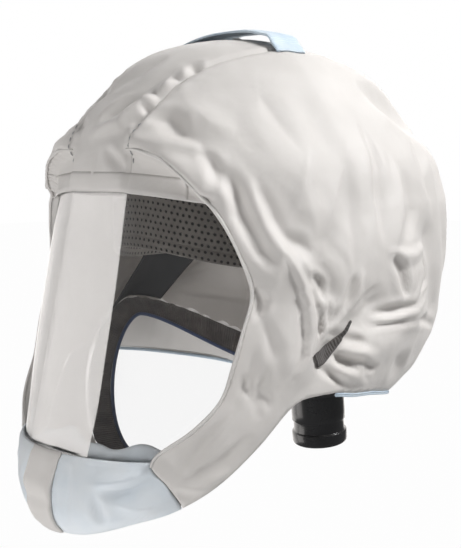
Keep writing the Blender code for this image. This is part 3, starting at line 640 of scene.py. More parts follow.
def slab(outer, inner, ring=False):
    """Closed body between two grids of points, with its faces."""
    outer, inner = np.array(outer), np.array(inner)
    rows, columns = outer.shape[:2]
    points = np.concatenate([outer.reshape(-1, 3), inner.reshape(-1, 3)])
    base = rows * columns
    spans = columns if ring else columns - 1
    faces = []
    for r in range(rows - 1):
        for c in range(spans):
            n = (c + 1) % columns
            quad = [r * columns + c, r * columns + n, (r + 1) * columns + n, (r + 1) * columns + c]
            faces.append(quad)
            faces.append([base + i for i in reversed(quad)])
    for r, turn in ((0, 1), (rows - 1, -1)):
        for c in range(spans):
            n = (c + 1) % columns
            quad = [r * columns + n, r * columns + c, base + r * columns + c, base + r * columns + n]
            faces.append(quad[::turn])
    if not ring:
        for c, turn in ((0, 1), (columns - 1, -1)):
            for r in range(rows - 1):
                a, b = r * columns + c, (r + 1) * columns + c
                faces.append([a, b, base + b, base + a][::turn])
    return points, faces


def grid_uv(down, across):
    """Texture places of a slab whose rows and columns lie at the given distances, in metres."""
    v, u = np.meshgrid(down, across, indexing="ij")
    return np.concatenate([np.stack([u.ravel(), v.ravel()], -1)] * 2)


def slab_uv(rows, columns, high, wide):
    """Texture places of a slab with even rows and columns."""
    return grid_uv(np.linspace(0, high, rows), np.linspace(0, wide, columns))


def tube(path, radius, sides, ring=False, outward=None, squash=1.0):
    """Round or flattened cord along a path, with its texture places."""
    path = np.asarray(path, float)
    count = len(path)
    if ring:
        ahead, behind = np.roll(path, -1, axis=0), np.roll(path, 1, axis=0)
    else:
        ahead, behind = np.vstack([path[1:], path[-1:]]), np.vstack([path[:1], path[:-1]])
    way = ahead - behind
    way /= np.linalg.norm(way, axis=1, keepdims=True)
    out = np.asarray(outward, float) if outward is not None else path * np.array([1.0, 1.0, 0.0])
    side = out - way * np.einsum("ij,ij->i", out, way)[:, None]
    side /= np.linalg.norm(side, axis=1, keepdims=True)
    up = np.cross(way, side)
    radius = np.broadcast_to(np.asarray(radius, float), (count,))
    points, uv = [], []
    gone = np.concatenate([[0.0], np.cumsum(np.linalg.norm(np.diff(path, axis=0), axis=1))])
    for i in range(count):
        for k in range(sides):
            angle = 2 * math.pi * k / sides
            points.append(path[i] + radius[i] * (squash * math.cos(angle) * side[i] + math.sin(angle) * up[i]))
            uv.append((gone[i], radius[i] * angle))
    faces = []
    for i in range(count if ring else count - 1):
        j = (i + 1) % count
        for k in range(sides):
            m = (k + 1) % sides
            faces.append((i * sides + k, i * sides + m, j * sides + m, j * sides + k))
    if not ring:
        faces.append(tuple(reversed(range(sides))))
        faces.append(tuple((count - 1) * sides + k for k in range(sides)))
    return points, faces, uv


def inside(points, outline):
    """Which points are inside a closed outline."""
    x, y = points[:, 0], points[:, 1]
    crossings = np.zeros(len(points), dtype=np.int64)
    for first, second in zip(outline, np.roll(outline, -1, axis=0)):
        cross = (first[1] > y) != (second[1] > y)
        if cross.any():
            at = first[0] + (y - first[1]) / (second[1] - first[1]) * (second[0] - first[0])
            crossings += cross & (x < at)
    return crossings % 2 == 1


# The cloth of the crown and sides is one fine net, parted along the crown seams.
FRONT = round(2 * EDGE_TOP_TURN / 360 * 2 * math.pi * HALF_WIDTH / STEP)
SIDE = round((180 - EDGE_TOP_TURN) / 360 * 2 * math.pi * 0.138 / STEP)
ROWS = round(0.19 / STEP)
front_turns = np.linspace(-EDGE_TOP_TURN, EDGE_TOP_TURN, FRONT + 1)
side_turns = np.linspace(EDGE_TOP_TURN, 180.0, SIDE + 1)
hem_columns = round(0.40 / STEP)
low_turns = hem_turns(hem_columns)


def side_net():
    """Fine net of one side below the brow line, as turns, runs and triangles. The brow line comes first."""
    rear = np.linspace(float(brow_height(180.0)), float(hem_height(180.0)), round(0.14 / STEP))[1:-1]
    edge = np.linspace(float(brow_height(EDGE_TOP_TURN)), float(hem_height(EDGE_LOW_TURN)), round(0.20 / STEP))[1:-1]
    outline = [np.stack([side_turns, brow_height(side_turns)], -1), np.stack([np.full(len(rear), 180.0), rear], -1)]
    outline.append(np.stack([low_turns[::-1], hem_height(low_turns[::-1])], -1))
    outline.append(np.stack([opening_turn(edge[::-1]), edge[::-1]], -1))
    flat = np.concatenate(outline)
    flat[:, 0] = np.radians(flat[:, 0]) * HALF_WIDTH
    count = len(flat)
    columns = int(math.pi * HALF_WIDTH / STEP) + 2
    places = []
    for row in range(1, int((BROW_HEIGHT + CHIN_DROP) / (STEP * 0.87)) + 1):
        x = math.pi * HALF_WIDTH - (np.arange(columns) + 0.5 * (row % 2) + 0.5) * STEP
        places.append(np.stack([x, np.full(columns, BROW_HEIGHT - row * STEP * 0.87)], -1))
    places = np.concatenate(places)
    places = places[inside(places, flat)]
    near = np.full(len(places), 9.0)
    for border in flat:
        near = np.minimum(near, np.hypot(places[:, 0] - border[0], places[:, 1] - border[1]))
    places = np.concatenate([flat, places[near > STEP * 0.6]])
    borders = [(i, (i + 1) % count) for i in range(count)]
    triangles = delaunay_2d_cdt([Vector(place) for place in places], borders, [], 0, 1e-8)[2]
    triangles = np.array([list(triangle) for triangle in triangles])
    triangles = triangles[inside(places[triangles].mean(axis=1), flat)]
    turns = np.degrees(places[:, 0] / HALF_WIDTH)
    return turns, height_run(turns, places[:, 1]), triangles


def build_net():
    """Turns, runs and faces of the whole cloth."""
    around = np.concatenate([front_turns, side_turns[1:], -side_turns[-2:0:-1]])
    count = len(around)
    runs = (np.arange(1, ROWS + 1) / ROWS) ** 0.9
    turn = [np.zeros(1), np.tile(around, ROWS)]
    run = [np.zeros(1), np.repeat(runs, count)]
    faces = [(0, 1 + c, 1 + (c + 1) % count) for c in range(count)]
    for r in range(ROWS - 1):
        for c in range(count):
            n = (c + 1) % count
            a, b = 1 + r * count, 1 + (r + 1) * count
            faces.append((a + c, b + c, b + n, a + n))
    net_turn, net_run, triangles = side_net()
    brow = 1 + (ROWS - 1) * count
    total = 1 + ROWS * count
    rear = {}
    for side in (1, -1):
        index = np.zeros(len(net_turn), dtype=np.int64)
        fresh_turn, fresh_run = [], []
        for i, (t, r) in enumerate(zip(net_turn, net_run)):
            if i <= SIDE:
                index[i] = brow + (FRONT + i if side > 0 or i == SIDE else (-i) % count)
            elif t > 179.99 and i in rear:
                index[i] = rear[i]
            else:
                index[i] = total + len(fresh_turn)
                rear[i] = index[i]
                fresh_turn.append(side * t)
                fresh_run.append(r)
        turn.append(np.array(fresh_turn))
        run.append(np.array(fresh_run))
        total += len(fresh_turn)
        for triangle in triangles:
            faces.append(tuple(index[triangle])[::side])
    return np.concatenate(turn), np.concatenate(run), faces


net_turn, net_run, net_faces = build_net()
net_points = fine_point(net_turn, net_run)
net_uv = np.stack([np.radians(net_turn) * HALF_WIDTH, net_points[:, 2]], -1)
cloth_tree = BVHTree.FromPolygons([tuple(point) for point in net_points], net_faces)


def on_cloth(point, way, lift):
    """Point on the finished cloth, found along a way that runs out of the hood, and the cloth's outward side."""
    way = Vector(way).normalized()
    found, normal = cloth_tree.ray_cast(Vector(point) + way * 0.03, -way)[:2]
    if found is None:
        return Vector(point), way
    if normal.dot(way) < 0:
        normal = -normal
    return found + normal * lift, normal


def part_cloth():
    """The net cut along the crown seams: the middle, left and right panels."""
    work = bmesh.new()
    place = work.verts.layers.float_vector.new("place")
    verts = [work.verts.new(point) for point in net_points]
    for vert, (u, v) in zip(verts, net_uv):
        vert[place] = (u, v, 0.0)
    for face in net_faces:
        work.faces.new([verts[i] for i in face])
    for side in (1, -1):
        for (y1, x1), (y2, x2) in zip(SEAM, SEAM[1:]):
            away = Vector((y2 - y1, x1 - x2, 0.0)).normalized()
            away.x *= side
            middles = [(f, f.calc_center_median()) for f in work.faces]
            taken = [f for f, middle in middles if y1 <= middle.y < y2 and middle.x * side > 0]
            geom = taken + list({e for f in taken for e in f.edges}) + list({v for f in taken for v in f.verts})
            bmesh.ops.bisect_plane(work, geom=geom, dist=0.00003, plane_co=(x1 * side, y1, 0.0), plane_no=away)
    for face in work.faces:
        centre = face.calc_center_median()
        past = abs(centre.x) - float(np.interp(centre.y, SEAM[:, 0], SEAM[:, 1]))
        face.material_index = 0 if past < 0 else (1 if centre.x > 0 else 2)
    return work


def thicken(work, depth):
    """Turn an open sheet into a closed body by adding an inner face at a depth."""
    work.normal_update()
    verts, faces = list(work.verts), list(work.faces)
    rims = [edge for edge in work.edges if len(edge.link_faces) == 1]
    turns = [(edge.link_loops[0].vert, edge.link_loops[0].link_loop_next.vert) for edge in rims]
    twin = {vert: work.verts.new(vert.co - vert.normal * depth) for vert in verts}
    place = work.verts.layers.float_vector.get("place")
    if place:
        for vert, other in twin.items():
            other[place] = vert[place]
    for face in faces:
        work.faces.new([twin[loop.vert] for loop in reversed(face.loops)])
    for first, second in turns:
        work.faces.new([second, first, twin[first], twin[second]])


def panel(work, index, name, node):
    """One panel of the cloth as a closed body."""
    part = work.copy()
    others = [face for face in part.faces if face.material_index != index]
    bmesh.ops.delete(part, geom=others, context="FACES")
    for face in part.faces:
        face.material_index = 0
    thicken(part, EDGE)
    mesh = bpy.data.meshes.new(name)
    layer = part.loops.layers.uv.new("UVMap")
    place = part.verts.layers.float_vector.get("place")
    for face in part.faces:
        face.smooth = True
        for loop in face.loops:
            loop[layer].uv = loop.vert[place].xy
    part.verts.layers.float_vector.remove(place)
    part.to_mesh(mesh)
    part.free()
    return riding(name, mesh, coated, [node])


# Materials

class Surface:
    """Node material with the links that most of the finishes share."""

    def __init__(self, name, colour, roughness, **sockets):
        self.made = bpy.data.materials.new(name)
        self.made.use_nodes = True
        self.tree = self.made.node_tree
        self.shader = self.tree.nodes["Principled BSDF"]
        self.shader.inputs["Base Color"].default_value = (*colour, 1.0)
        self.shader.inputs["Roughness"].default_value = roughness
        for socket, value in sockets.items():
            self.shader.inputs[socket.replace("_", " ")].default_value = value
        self.coords = self.node("ShaderNodeTexCoord")
        self.object = self.coords.outputs["Object"]
        self.uv = self.coords.outputs["UV"]
        self.bumps = None

    def node(self, kind, **values):
        made = self.tree.nodes.new(kind)
        for key, value in values.items():
            setattr(made, key, value)
        return made

    def link(self, source, target):
        self.tree.links.new(source, target)

    def noise(self, scale, detail=3.0):
        made = self.node("ShaderNodeTexNoise")
        made.inputs["Scale"].default_value = scale
        made.inputs["Detail"].default_value = detail
        self.link(self.object, made.inputs["Vector"])
        return made.outputs["Fac"]

    def wave(self, pitch, direction, warp=0.0):
        """Waves in the texture places, at a pitch in metres."""
        made = self.node("ShaderNodeTexWave", bands_direction=direction)
        made.inputs["Scale"].default_value = 0.5 / pitch
        made.inputs["Distortion"].default_value = warp
        made.inputs["Detail"].default_value = 1.0
        self.link(self.uv, made.inputs["Vector"])
        return made.outputs["Fac"]

    def math(self, kind, a, b=0.0):
        made = self.node("ShaderNodeMath", operation=kind)
        for socket, value in zip(made.inputs, (a, b)):
            if isinstance(value, (int, float)):
                socket.default_value = value
            else:
                self.link(value, socket)
        return made.outputs[0]

    def ramp(self, source, low, high, first, second):
        made = self.node("ShaderNodeMapRange", clamp=True)
        self.link(source, made.inputs["Value"])
        for name, value in (("From Min", low), ("From Max", high), ("To Min", first), ("To Max", second)):
            made.inputs[name].default_value = value
        return made.outputs["Result"]

    def add(self, a, b):
        return self.math("ADD", a, b)

    def times(self, a, b):
        return self.math("MULTIPLY", a, b)

    def tint(self, factor, first, second):
        """Base colour that runs between two colours by a factor."""
        made = self.node("ShaderNodeMix", data_type="RGBA")
        self.link(factor, made.inputs["Factor"])
        made.inputs["A"].default_value = (*first, 1.0)
        made.inputs["B"].default_value = (*second, 1.0)
        self.link(made.outputs["Result"], self.shader.inputs["Base Color"])

    def bump(self, height, depth, strength=1.0):
        made = self.node("ShaderNodeBump")
        made.inputs["Strength"].default_value = strength
        made.inputs["Distance"].default_value = depth
        self.link(height, made.inputs["Height"])
        if self.bumps:
            self.link(self.bumps, made.inputs["Normal"])
        self.bumps = made.outputs["Normal"]
        self.link(self.bumps, self.shader.inputs["Normal"])

    def gloss(self, source, low, high, first, second):
        self.link(self.ramp(source, low, high, first, second), self.shader.inputs["Roughness"])


def woven(name, light, dark, pitch, depth, roughness, **sockets):
    """Plain weave of a pitch, with uneven colour and soft creasing."""
    made = Surface(name, light, roughness, **sockets)
    threads = made.times(made.wave(pitch, "X"), made.wave(pitch, "Y"))
    made.bump(threads, depth)
    broad = made.noise(26.0, 4.0)
    made.tint(made.ramp(made.add(broad, made.times(threads, 0.10)), 0.38, 0.80, 0.0, 1.0), dark, light)
    made.bump(made.noise(150.0, 3.0), 0.00035, 0.6)
    made.gloss(made.noise(60.0, 2.0), 0.3, 0.7, roughness - 0.06, roughness + 0.06)
    return made


colours = (0.70, 0.672, 0.648), (0.64, 0.613, 0.588)
coated = woven("coated_cloth_finish", *colours, 0.0009, 0.00010, 0.50, Sheen_Weight=0.12).made
# Lighter copy of the coated cloth for the rolled edges and visor bindings: painted highlight that makes the rolled
# edge read as a bright line.
colours = (0.76, 0.735, 0.712), (0.70, 0.675, 0.652)
lit_edge_cloth = woven("coated_lit_edge_finish", *colours, 0.0009, 0.00012, 0.5, Sheen_Weight=0.12).made
knit = Surface("knit_finish", (0.90, 0.94, 0.975), 0.85, Sheen_Weight=0.6)
loops = knit.times(knit.wave(0.0011, "X", warp=0.6), knit.wave(0.0008, "Y", warp=0.6))
knit.bump(loops, 0.00022)
knit.tint(knit.ramp(knit.add(knit.noise(40.0, 3.0), knit.times(loops, 0.16)), 0.35, 0.85, 0.0, 1.0),
          (0.83, 0.895, 0.955), (0.925, 0.96, 0.985))
knit.bump(knit.noise(120.0, 2.0), 0.0004, 0.6)
knit = knit.made
webbing = Surface("webbing_finish", (0.62, 0.74, 0.85), 0.7, Sheen_Weight=0.3)
ribs = webbing.add(webbing.wave(0.0016, "Y"), webbing.times(webbing.wave(0.0012, "X"), 0.6))
webbing.bump(ribs, 0.00022)
webbing.tint(webbing.ramp(webbing.add(webbing.noise(60.0), webbing.times(ribs, 0.12)), 0.4, 0.85, 0.0, 1.0),
             (0.56, 0.69, 0.82), (0.72, 0.82, 0.90))
webbing = webbing.made
elastic = Surface("elastic_finish", (0.07, 0.06, 0.055), 0.75, Sheen_Weight=0.2)
cords = elastic.wave(0.0013, "Y")
elastic.bump(cords, 0.0003)
elastic.bump(elastic.wave(0.0030, "X", warp=1.5), 0.0004, 0.7)
elastic.tint(elastic.ramp(elastic.add(elastic.noise(90.0), elastic.times(cords, 0.25)), 0.4, 0.9, 0.0, 1.0),
             (0.040, 0.034, 0.032), (0.115, 0.098, 0.090))
elastic = elastic.made
navy = Surface("navy_finish", (0.03, 0.05, 0.12), 0.7, Sheen_Weight=0.2)
navy.bump(navy.wave(0.0010, "X"), 0.00018)
navy.tint(navy.noise(200.0), (0.020, 0.034, 0.085), (0.050, 0.075, 0.15))
navy = navy.made
foam = Surface("foam_finish", (0.15, 0.14, 0.13), 0.85, Sheen_Weight=0.2)
PITCH = 0.0042
mapped = foam.node("ShaderNodeSeparateXYZ")
foam.link(foam.uv, mapped.inputs[0])
row = foam.math("DIVIDE", mapped.outputs["Y"], PITCH)
shift = foam.times(foam.math("MODULO", foam.math("FLOOR", row), 2.0), 0.5)
column = foam.math("FRACT", foam.add(foam.math("DIVIDE", mapped.outputs["X"], PITCH), foam.add(shift, 400.0)), 0.0)
across = foam.math("SUBTRACT", column, 0.5)
down = foam.math("SUBTRACT", foam.math("FRACT", row), 0.5)
reach = foam.add(foam.times(across, across), foam.times(down, down))
# Perforations as near-black dots in the foam's colour: painted shade inside the holes, with the same mask giving their
# bump.
hole_shade = foam.ramp(reach, 0.030, 0.075, 0.0, 1.0)
mottle = foam.ramp(foam.noise(70.0), 0.3, 0.7, 0.82, 1.0)
foam.tint(foam.times(hole_shade, mottle), (0.016, 0.015, 0.014), (0.175, 0.160, 0.145))
foam.bump(hole_shade, 0.0007)
foam.bump(foam.noise(400.0), 0.00015, 0.5)
foam = foam.made
plastic = Surface("plastic_finish", (0.012, 0.012, 0.013), 0.22, Coat_Weight=0.35, Coat_Roughness=0.08)
plastic.tint(plastic.noise(30.0), (0.010, 0.010, 0.011), (0.019, 0.019, 0.020))
plastic.bump(plastic.noise(900.0, 2.0), 0.00003, 0.5)
plastic.gloss(plastic.noise(45.0), 0.3, 0.7, 0.16, 0.30)
plastic = plastic.made
matt_plastic = Surface("matt_plastic_finish", (0.03, 0.03, 0.032), 0.5)
matt_plastic.tint(matt_plastic.noise(30.0), (0.022, 0.022, 0.024), (0.042, 0.042, 0.044))
matt_plastic.bump(matt_plastic.noise(1100.0, 2.0), 0.00006, 0.8)
matt_plastic.gloss(matt_plastic.noise(45.0), 0.3, 0.7, 0.42, 0.58)
matt_plastic = matt_plastic.made
thread = Surface("thread_finish", (0.30, 0.30, 0.31), 0.7)
thread.tint(thread.noise(600.0), (0.24, 0.24, 0.25), (0.40, 0.40, 0.41))
thread.bump(thread.noise(1500.0), 0.00008)
thread = thread.made
film = Surface("film_finish", (1.0, 1.0, 1.0), 0.03, Metallic=1.0)
fresnel = film.node("ShaderNodeFresnel")
fresnel.inputs["IOR"].default_value = 1.55
film.link(film.ramp(film.add(fresnel.outputs[0], film.times(film.noise(14.0, 2.0), 0.004)), 0.0, 1.0, 0.0, 0.9),
          film.shader.inputs["Alpha"])
film.bump(film.noise(9.0, 1.0), 0.0004, 0.35)
film.gloss(film.noise(30.0), 0.3, 0.7, 0.02, 0.05)
film = film.made

# Crown and side panels.
cloth = part_cloth()
crown_cloth = panel(cloth, 0, "crown_cloth", "crown_panel")
left_cloth = panel(cloth, 1, "side_cloth_left", "side_panel_left")
right_cloth = panel(cloth, 2, "side_cloth_right", "side_panel_right")
cloth.free()


def edge_roll(side):
    """Rolled edge of the cloth over one temple and down the visor to the chin."""
    arch = np.linspace(14.0, EDGE_TOP_TURN, 22)[:-1]
    places = [(t, float(arch_height(t))) for t in arch]
    for z in np.linspace(float(arch_height(EDGE_TOP_TURN)), -0.72 * CHIN_DROP, 74):
        places.append((float(opening_turn(z)) if z < brow_height(EDGE_TOP_TURN) else EDGE_TOP_TURN, float(z)))
    turn = np.array([t for t, z in places])
    run = np.array([height_run_any(t, z) for t, z in places])
    path = fine_point(side * turn, run, 0.0004)
    normal = bare_normal(side * turn, run)
    for _ in range(3):
        path[1:-1] = (path[:-2] + path[1:-1] * 2 + path[2:]) / 4
    size = 0.0011 + 0.0004 * np.sin(np.linspace(0, 30, len(path))) * 0.5
    size *= 0.35 + 0.65 * np.minimum(1.0, np.arange(len(path)) / 7.0)
    return tube(path, size, 8, outward=normal, squash=0.85)


# The edge rolls and bindings take the lighter copy of the cloth, a painted highlight.
for side, name in ((1, "left"), (-1, "right")):
    piece("edge_roll_" + name, edge_roll(side), lit_edge_cloth)
    heights = np.linspace(float(brow_height(EDGE_TOP_TURN)), -0.72 * CHIN_DROP, 60)
    edge_turns = np.array([float(opening_turn(z)) for z in heights])
    top = fine_point(side * edge_turns, height_run(edge_turns, heights), -0.0002)
    sunk = height_run(edge_turns + 1.2, heights)
    low = bare_point(side * (edge_turns + 1.2), sunk) - bare_normal(side * (edge_turns + 1.2), sunk) * 0.0019
    sheet = np.array([top + (low - top) * share for share in np.linspace(0, 1, 6)])
    body = slab(sheet, sheet + np.array([0.0, 0.0008, 0.0]))
    binding = piece("visor_binding_" + name, body, lit_edge_cloth, uv=slab_uv(6, 60, 0.006, 0.17))

# Turned-up hem of the brow, on the cloth's lower front edge.
turns = np.linspace(-34.0, 34.0, 70)
levels = np.array([1.0, 0.985, 0.965, 0.945, 0.935])
lifts = np.array([0.0002, 0.0007, 0.0008, 0.0006, 0.0001])
ends = np.minimum(1.0, (34.2 - np.abs(turns)) / 6.0)[:, None]
outer = np.array([fine_point(turns, np.full(70, level), 0.0) for level in levels])
outer += bare_normal(turns, np.ones(70)) * ends * lifts[:, None, None]
inner = np.array([fine_point(turns, np.full(70, level), -0.0003) for level in levels])
hem = piece("brow_hem", slab(outer, inner), coated, uv=slab_uv(5, 70, 0.012, 0.16))


def stitches(runs, length=0.0030, pitch=0.0052, radius=0.00042):
    """Row of small thread stitches on the cloth along each path of points and outward sides."""
    points, faces = [], []
    for path, normals in runs:
        gone = np.concatenate([[0.0], np.cumsum(np.linalg.norm(np.diff(path, axis=0), axis=1))])
        for start in np.arange(pitch / 2, gone[-1] - length, pitch):
            out = np.array([np.interp(start, gone, normals[:, k]) for k in range(3)])
            spine = []
            for share, sink in ((0.0, -0.8), (0.5, 0.5), (1.0, -0.8)):
                place = [np.interp(start + length * share, gone, path[:, k]) for k in range(3)]
                spine.append(np.array(place) + out * radius * sink)
            more = tube(spine, [radius * 0.7, radius, radius * 0.7], 5, outward=[out] * 3)
            faces += [tuple(len(points) + i for i in face) for face in more[1]]
            points += more[0]
    return points, faces


def seam_path(side):
    """Line beside the front of a crown seam, with its outward sides."""
    path, normals = [], []
    for y in np.linspace(-0.1345, -0.106, 40):
        x = side * (float(np.interp(y, SEAM[:, 0], SEAM[:, 1])) + 0.0014)
        found, normal = on_cloth((x, y, 0.06), (0.0, -0.55 if y < 0 else 0.55, 0.8), 0.0002)
        path.append(found)
        normals.append(normal)
    return np.array(path, float), np.array(normals, float)


piece("seam_stitches", stitches([seam_path(side) for side in (1, -1)]), thread)

# Visor: flat between two bends, each at a turn and in a column of the grid, and bent round beyond them.
BEND, BEND_COLUMNS, FLATTENED = 13.6, (25, 46), 0.68
rows = 46
heights = np.linspace(BROW_HEIGHT, -VISOR_BOTTOM - CHIN_TUCK, rows)
shares = np.concatenate([np.linspace(-1, 0, 26)[:-1], np.linspace(0, 1, 22), np.linspace(1, 2, 26)[1:]])
columns = len(shares)
turns = []
for z in heights:
    wide = float(opening_turn(z)) + math.degrees(VISOR_TUCK / HALF_WIDTH)
    bend = BEND * (1.0 + 0.10 * (BROW_HEIGHT - z) / 0.16)
    turns.append(np.interp(shares, [-1, 0, 1, 2], [-wide, -bend, bend, wide]))
turns = np.array(turns)
runs = height_run(turns, np.tile(heights[:, None], (1, columns)))
runs[0] = 1 - 0.04
flat = bare_point(turns, runs)
out = bare_normal(turns, runs)
tucked = ease(0.0, 7.0, np.abs(turns) - opening_turn(heights)[:, None] + 5.0)
outer = flat - out * (CLOTH + VISOR_GAP + 0.0012 * tucked)[..., None]
for r in range(rows):
    first, last = BEND_COLUMNS
    ends = outer[r, first], outer[r, last]
    for c in range(first + 1, last):
        straight = ends[0] + (ends[1] - ends[0]) * (c - first) / (last - first)
        outer[r, c] += (straight - outer[r, c]) * FLATTENED
body = slab(outer, outer - out * FILM)
visor_film = piece("visor_film", body, film, ["visor"], uv=slab_uv(rows, columns, 0.165, 0.24))
for edge in visor_film.data.edges:
    first, second = (i % (rows * columns) % columns for i in edge.vertices)
    edge.use_edge_sharp = first == second and first in BEND_COLUMNS

# Chin panel with its centre strip, and its upper edge behind the visor.
CHIN_CREASES = creases("""
    3.5 4 -1.9 23 0.815 31 0.8 35.6 0.76
    4 5 1.6 20 0.79 28 0.77 34 0.735
    3 3.6 -1.5 22 0.82 23.9 0.88 25.4 0.93
    4 5 1 29 0.84 34 0.86 41 0.85
    3 4 -1.2 -9 0.75 -12 0.84 -10 0.93
    3 4 -1.4 -20 0.76 -25 0.83 -26 0.92
    2.4 3.4 -1.2 11.5 0.74 13 0.84 12 0.95
""", 2)
rows, columns = 34, 84
grid_turns = np.zeros((rows, columns))
grid_runs = np.zeros((rows, columns))
for r, down in enumerate(np.linspace(0, 1, rows)):
    turn = np.linspace(-40.0, 40.0, columns)
    for _ in range(24):
        height = -VISOR_BOTTOM + (hem_height(turn) + VISOR_BOTTOM) * down
        turn = np.linspace(-1, 1, columns) * (opening_turn(height) - CHIN_SEAM_GAP * 0.5)
    grid_turns[r] = turn
    grid_runs[r] = height_run(turn, height)
base = bare_point(grid_turns, grid_runs)
out = bare_normal(grid_turns, grid_runs)
flat = base.reshape(-1, 3)
rise = (crumple(flat) * 0.9 + creased(flat, out.reshape(-1, 3), CHIN_CREASES)).reshape(rows, columns)
inward = np.minimum(np.arange(columns), np.arange(columns)[::-1]) / 6.0
rise = (rise + 0.0016) * np.minimum(1.0, inward)[None, :]
rise *= np.minimum(1.0, np.arange(rows)[::-1] / 5.0)[:, None]
rise -= 0.0012 * (1 - ease(0.0, 3.0, np.arange(rows)))[:, None]
outer = base + out * rise[..., None]
points, faces = slab(outer, outer - out * EDGE)
chin_knit = piece("chin_knit", (points, faces), knit, ["chin_panel"], uv=slab_uv(rows, columns, 0.06, 0.20))
chin_tree = BVHTree.FromPolygons([tuple(point) for point in points], [tuple(face) for face in faces])


def on_chin(turn, height, lift):
    """Point on the finished chin panel."""
    run = height_run(turn, height)
    start, way = bare_point(turn, run), bare_normal(turn, run)
    found = chin_tree.ray_cast(Vector(start + way * 0.02), Vector(-way))[0]
    return np.array(found if found is not None else start) + way * lift


outer, inner = [], []
for down in np.linspace(0.004, 1.0, 24):
    line, under = [], []
    for k, turn in enumerate(np.linspace(-6.9, 6.9, 12)):
        height = -VISOR_BOTTOM + (float(hem_height(turn)) + VISOR_BOTTOM) * down + 0.001
        bulge = 0.0014 * math.sin(math.pi * down)
        bulge += 0.0012 * math.exp(-(((down - 0.42) / 0.10) ** 2)) - 0.0010 * math.exp(-(((down - 0.58) / 0.07) ** 2))
        rim = 0.0 if k in (0, 11) else 0.0006
        line.append(on_chin(turn, height, 0.0012 + rim + bulge))
        under.append(on_chin(turn, height, 0.0004))
    outer.append(line)
    inner.append(under)
uv = slab_uv(24, 12, 0.06, 0.026)
chin_strip_cloth = piece("chin_strip_cloth", slab(outer, inner), coated, ["chin_strip"], uv=uv)

# Seam allowance of the chin panel, a wavy knitted edge behind the visor.
columns = 80
turns = np.linspace(-36.5, 36.5, columns)
wave = 0.0060 + 0.0030 * np.sin(turns * 0.19 + 1.9) + 0.0014 * np.sin(turns * 0.47)
wave += 0.008 * np.exp(-(((turns - 6.0) / 14.0) ** 2))
tall = -VISOR_BOTTOM + np.maximum(wave, 0.001)
outer, inner = [], []
for share in np.linspace(0, 1, 6):
    height = -VISOR_BOTTOM - 0.003 + (tall + VISOR_BOTTOM + 0.003) * share
    run = height_run(turns, height)
    deep = CLOTH + VISOR_GAP + FILM + 0.0022 + 0.0046 * np.exp(-((turns / 11.0) ** 4))
    deep += 0.0007 * np.sin(turns * 0.8) * share
    outer.append(bare_point(turns, run) - bare_normal(turns, run) * deep[:, None])
    inner.append(outer[-1] - bare_normal(turns, run) * 0.0012)
inner_edge = piece("chin_inner_edge", slab(outer, inner), knit, uv=slab_uv(6, columns, 0.012, 0.18))

# Neck seal: an elastic band that runs out from its bound inner edge.
ring_turns = np.linspace(-180.0, 180.0, 241)[:-1]
edge = seal_edge(ring_turns)
outward = seal_outward(ring_turns)
tangent = np.roll(edge, -1, axis=0) - np.roll(edge, 1, axis=0)
tangent /= np.linalg.norm(tangent, axis=1, keepdims=True)
facing = np.cross(outward, tangent)
facing /= np.linalg.norm(facing, axis=1, keepdims=True)
gather = np.sin(np.radians(ring_turns) * 52) + 0.5 * np.sin(np.radians(ring_turns) * 71 + 1.0)
steps = np.linspace(0, SEAL_BAND, 10)
top = np.array([edge + outward * step + facing * (0.0004 * gather * step / SEAL_BAND)[:, None] for step in steps])
round_off = np.array([0.3, 0.8, 1, 1, 1, 1, 1, 1, 0.8, 0.3])[:, None, None] * SEAL_THICK / 2
body = slab(top + facing * round_off, top - facing * round_off, ring=True)
around = np.concatenate([[0.0], np.cumsum(np.linalg.norm(np.diff(edge, axis=0), axis=1))])
neck_elastic = piece("neck_elastic", body, elastic, ["neck_seal"], uv=grid_uv(steps, around))
body = tube(edge - outward * (BINDING_RADIUS + 0.0001), BINDING_RADIUS * 1.05, 10, True)
piece("neck_piping", body, navy, ["seal_binding"])

# Neck skirt: the CAD's sheet made finer, and gathered towards the elastic.
work = bmesh.new()
work.from_mesh(bpy.data.objects["neck_skirt"].data)
bmesh.ops.remove_doubles(work, verts=work.verts, dist=0.00001)
for _ in range(2):
    bmesh.ops.subdivide_edges(work, edges=work.edges, cuts=1, use_grid_fill=True)
bmesh.ops.triangulate(work, faces=work.faces)
for _ in range(3):
    away = [vert for vert in work.verts if math.hypot(vert.co.x, vert.co.y - HOSE_PLACE) > FLANGE_RADIUS + 0.006]
    bmesh.ops.smooth_vert(work, verts=away, factor=0.35, use_axis_x=True, use_axis_y=True, use_axis_z=True)
for vert in work.verts:
    x, y = vert.co.x, vert.co.y
    wide = x / SEAL_HALF_WIDTH
    long = (y - (SEAL_BACK - SEAL_FRONT) / 2) / ((SEAL_BACK + SEAL_FRONT) / 2)
    angle = math.atan2(wide, -long)
    reach = math.hypot(wide, long)
    pleat = math.sin(angle * 44) + 0.5 * math.sin(angle * 71 + 1.0) + 0.8 * math.sin(angle * 19 + 0.5)
    fade = float(ease(0.0, 0.12, reach - 1.0) * (1 - ease(0.15, 0.55, reach - 1.0)))
    clear = float(ease(FLANGE_RADIUS + 0.002, FLANGE_RADIUS + 0.014, math.hypot(x, y - HOSE_PLACE)))
    vert.co.z += 0.0011 * pleat * fade * clear
work.verts.index_update()
points = np.array([vert.co for vert in work.verts])
faces = [tuple(vert.index for vert in face.verts) for face in work.faces]
work.free()
skirt_cloth = piece("neck_skirt_cloth", (points, faces, points[:, :2]), coated, ["neck_skirt"])

# Hose connector, its flange and inner ring.
lean = Matrix.Translation((0.0, HOSE_PLACE, -FLOOR_DROP)) @ Matrix.Rotation(math.radians(HOSE_LEAN), 4, "X")


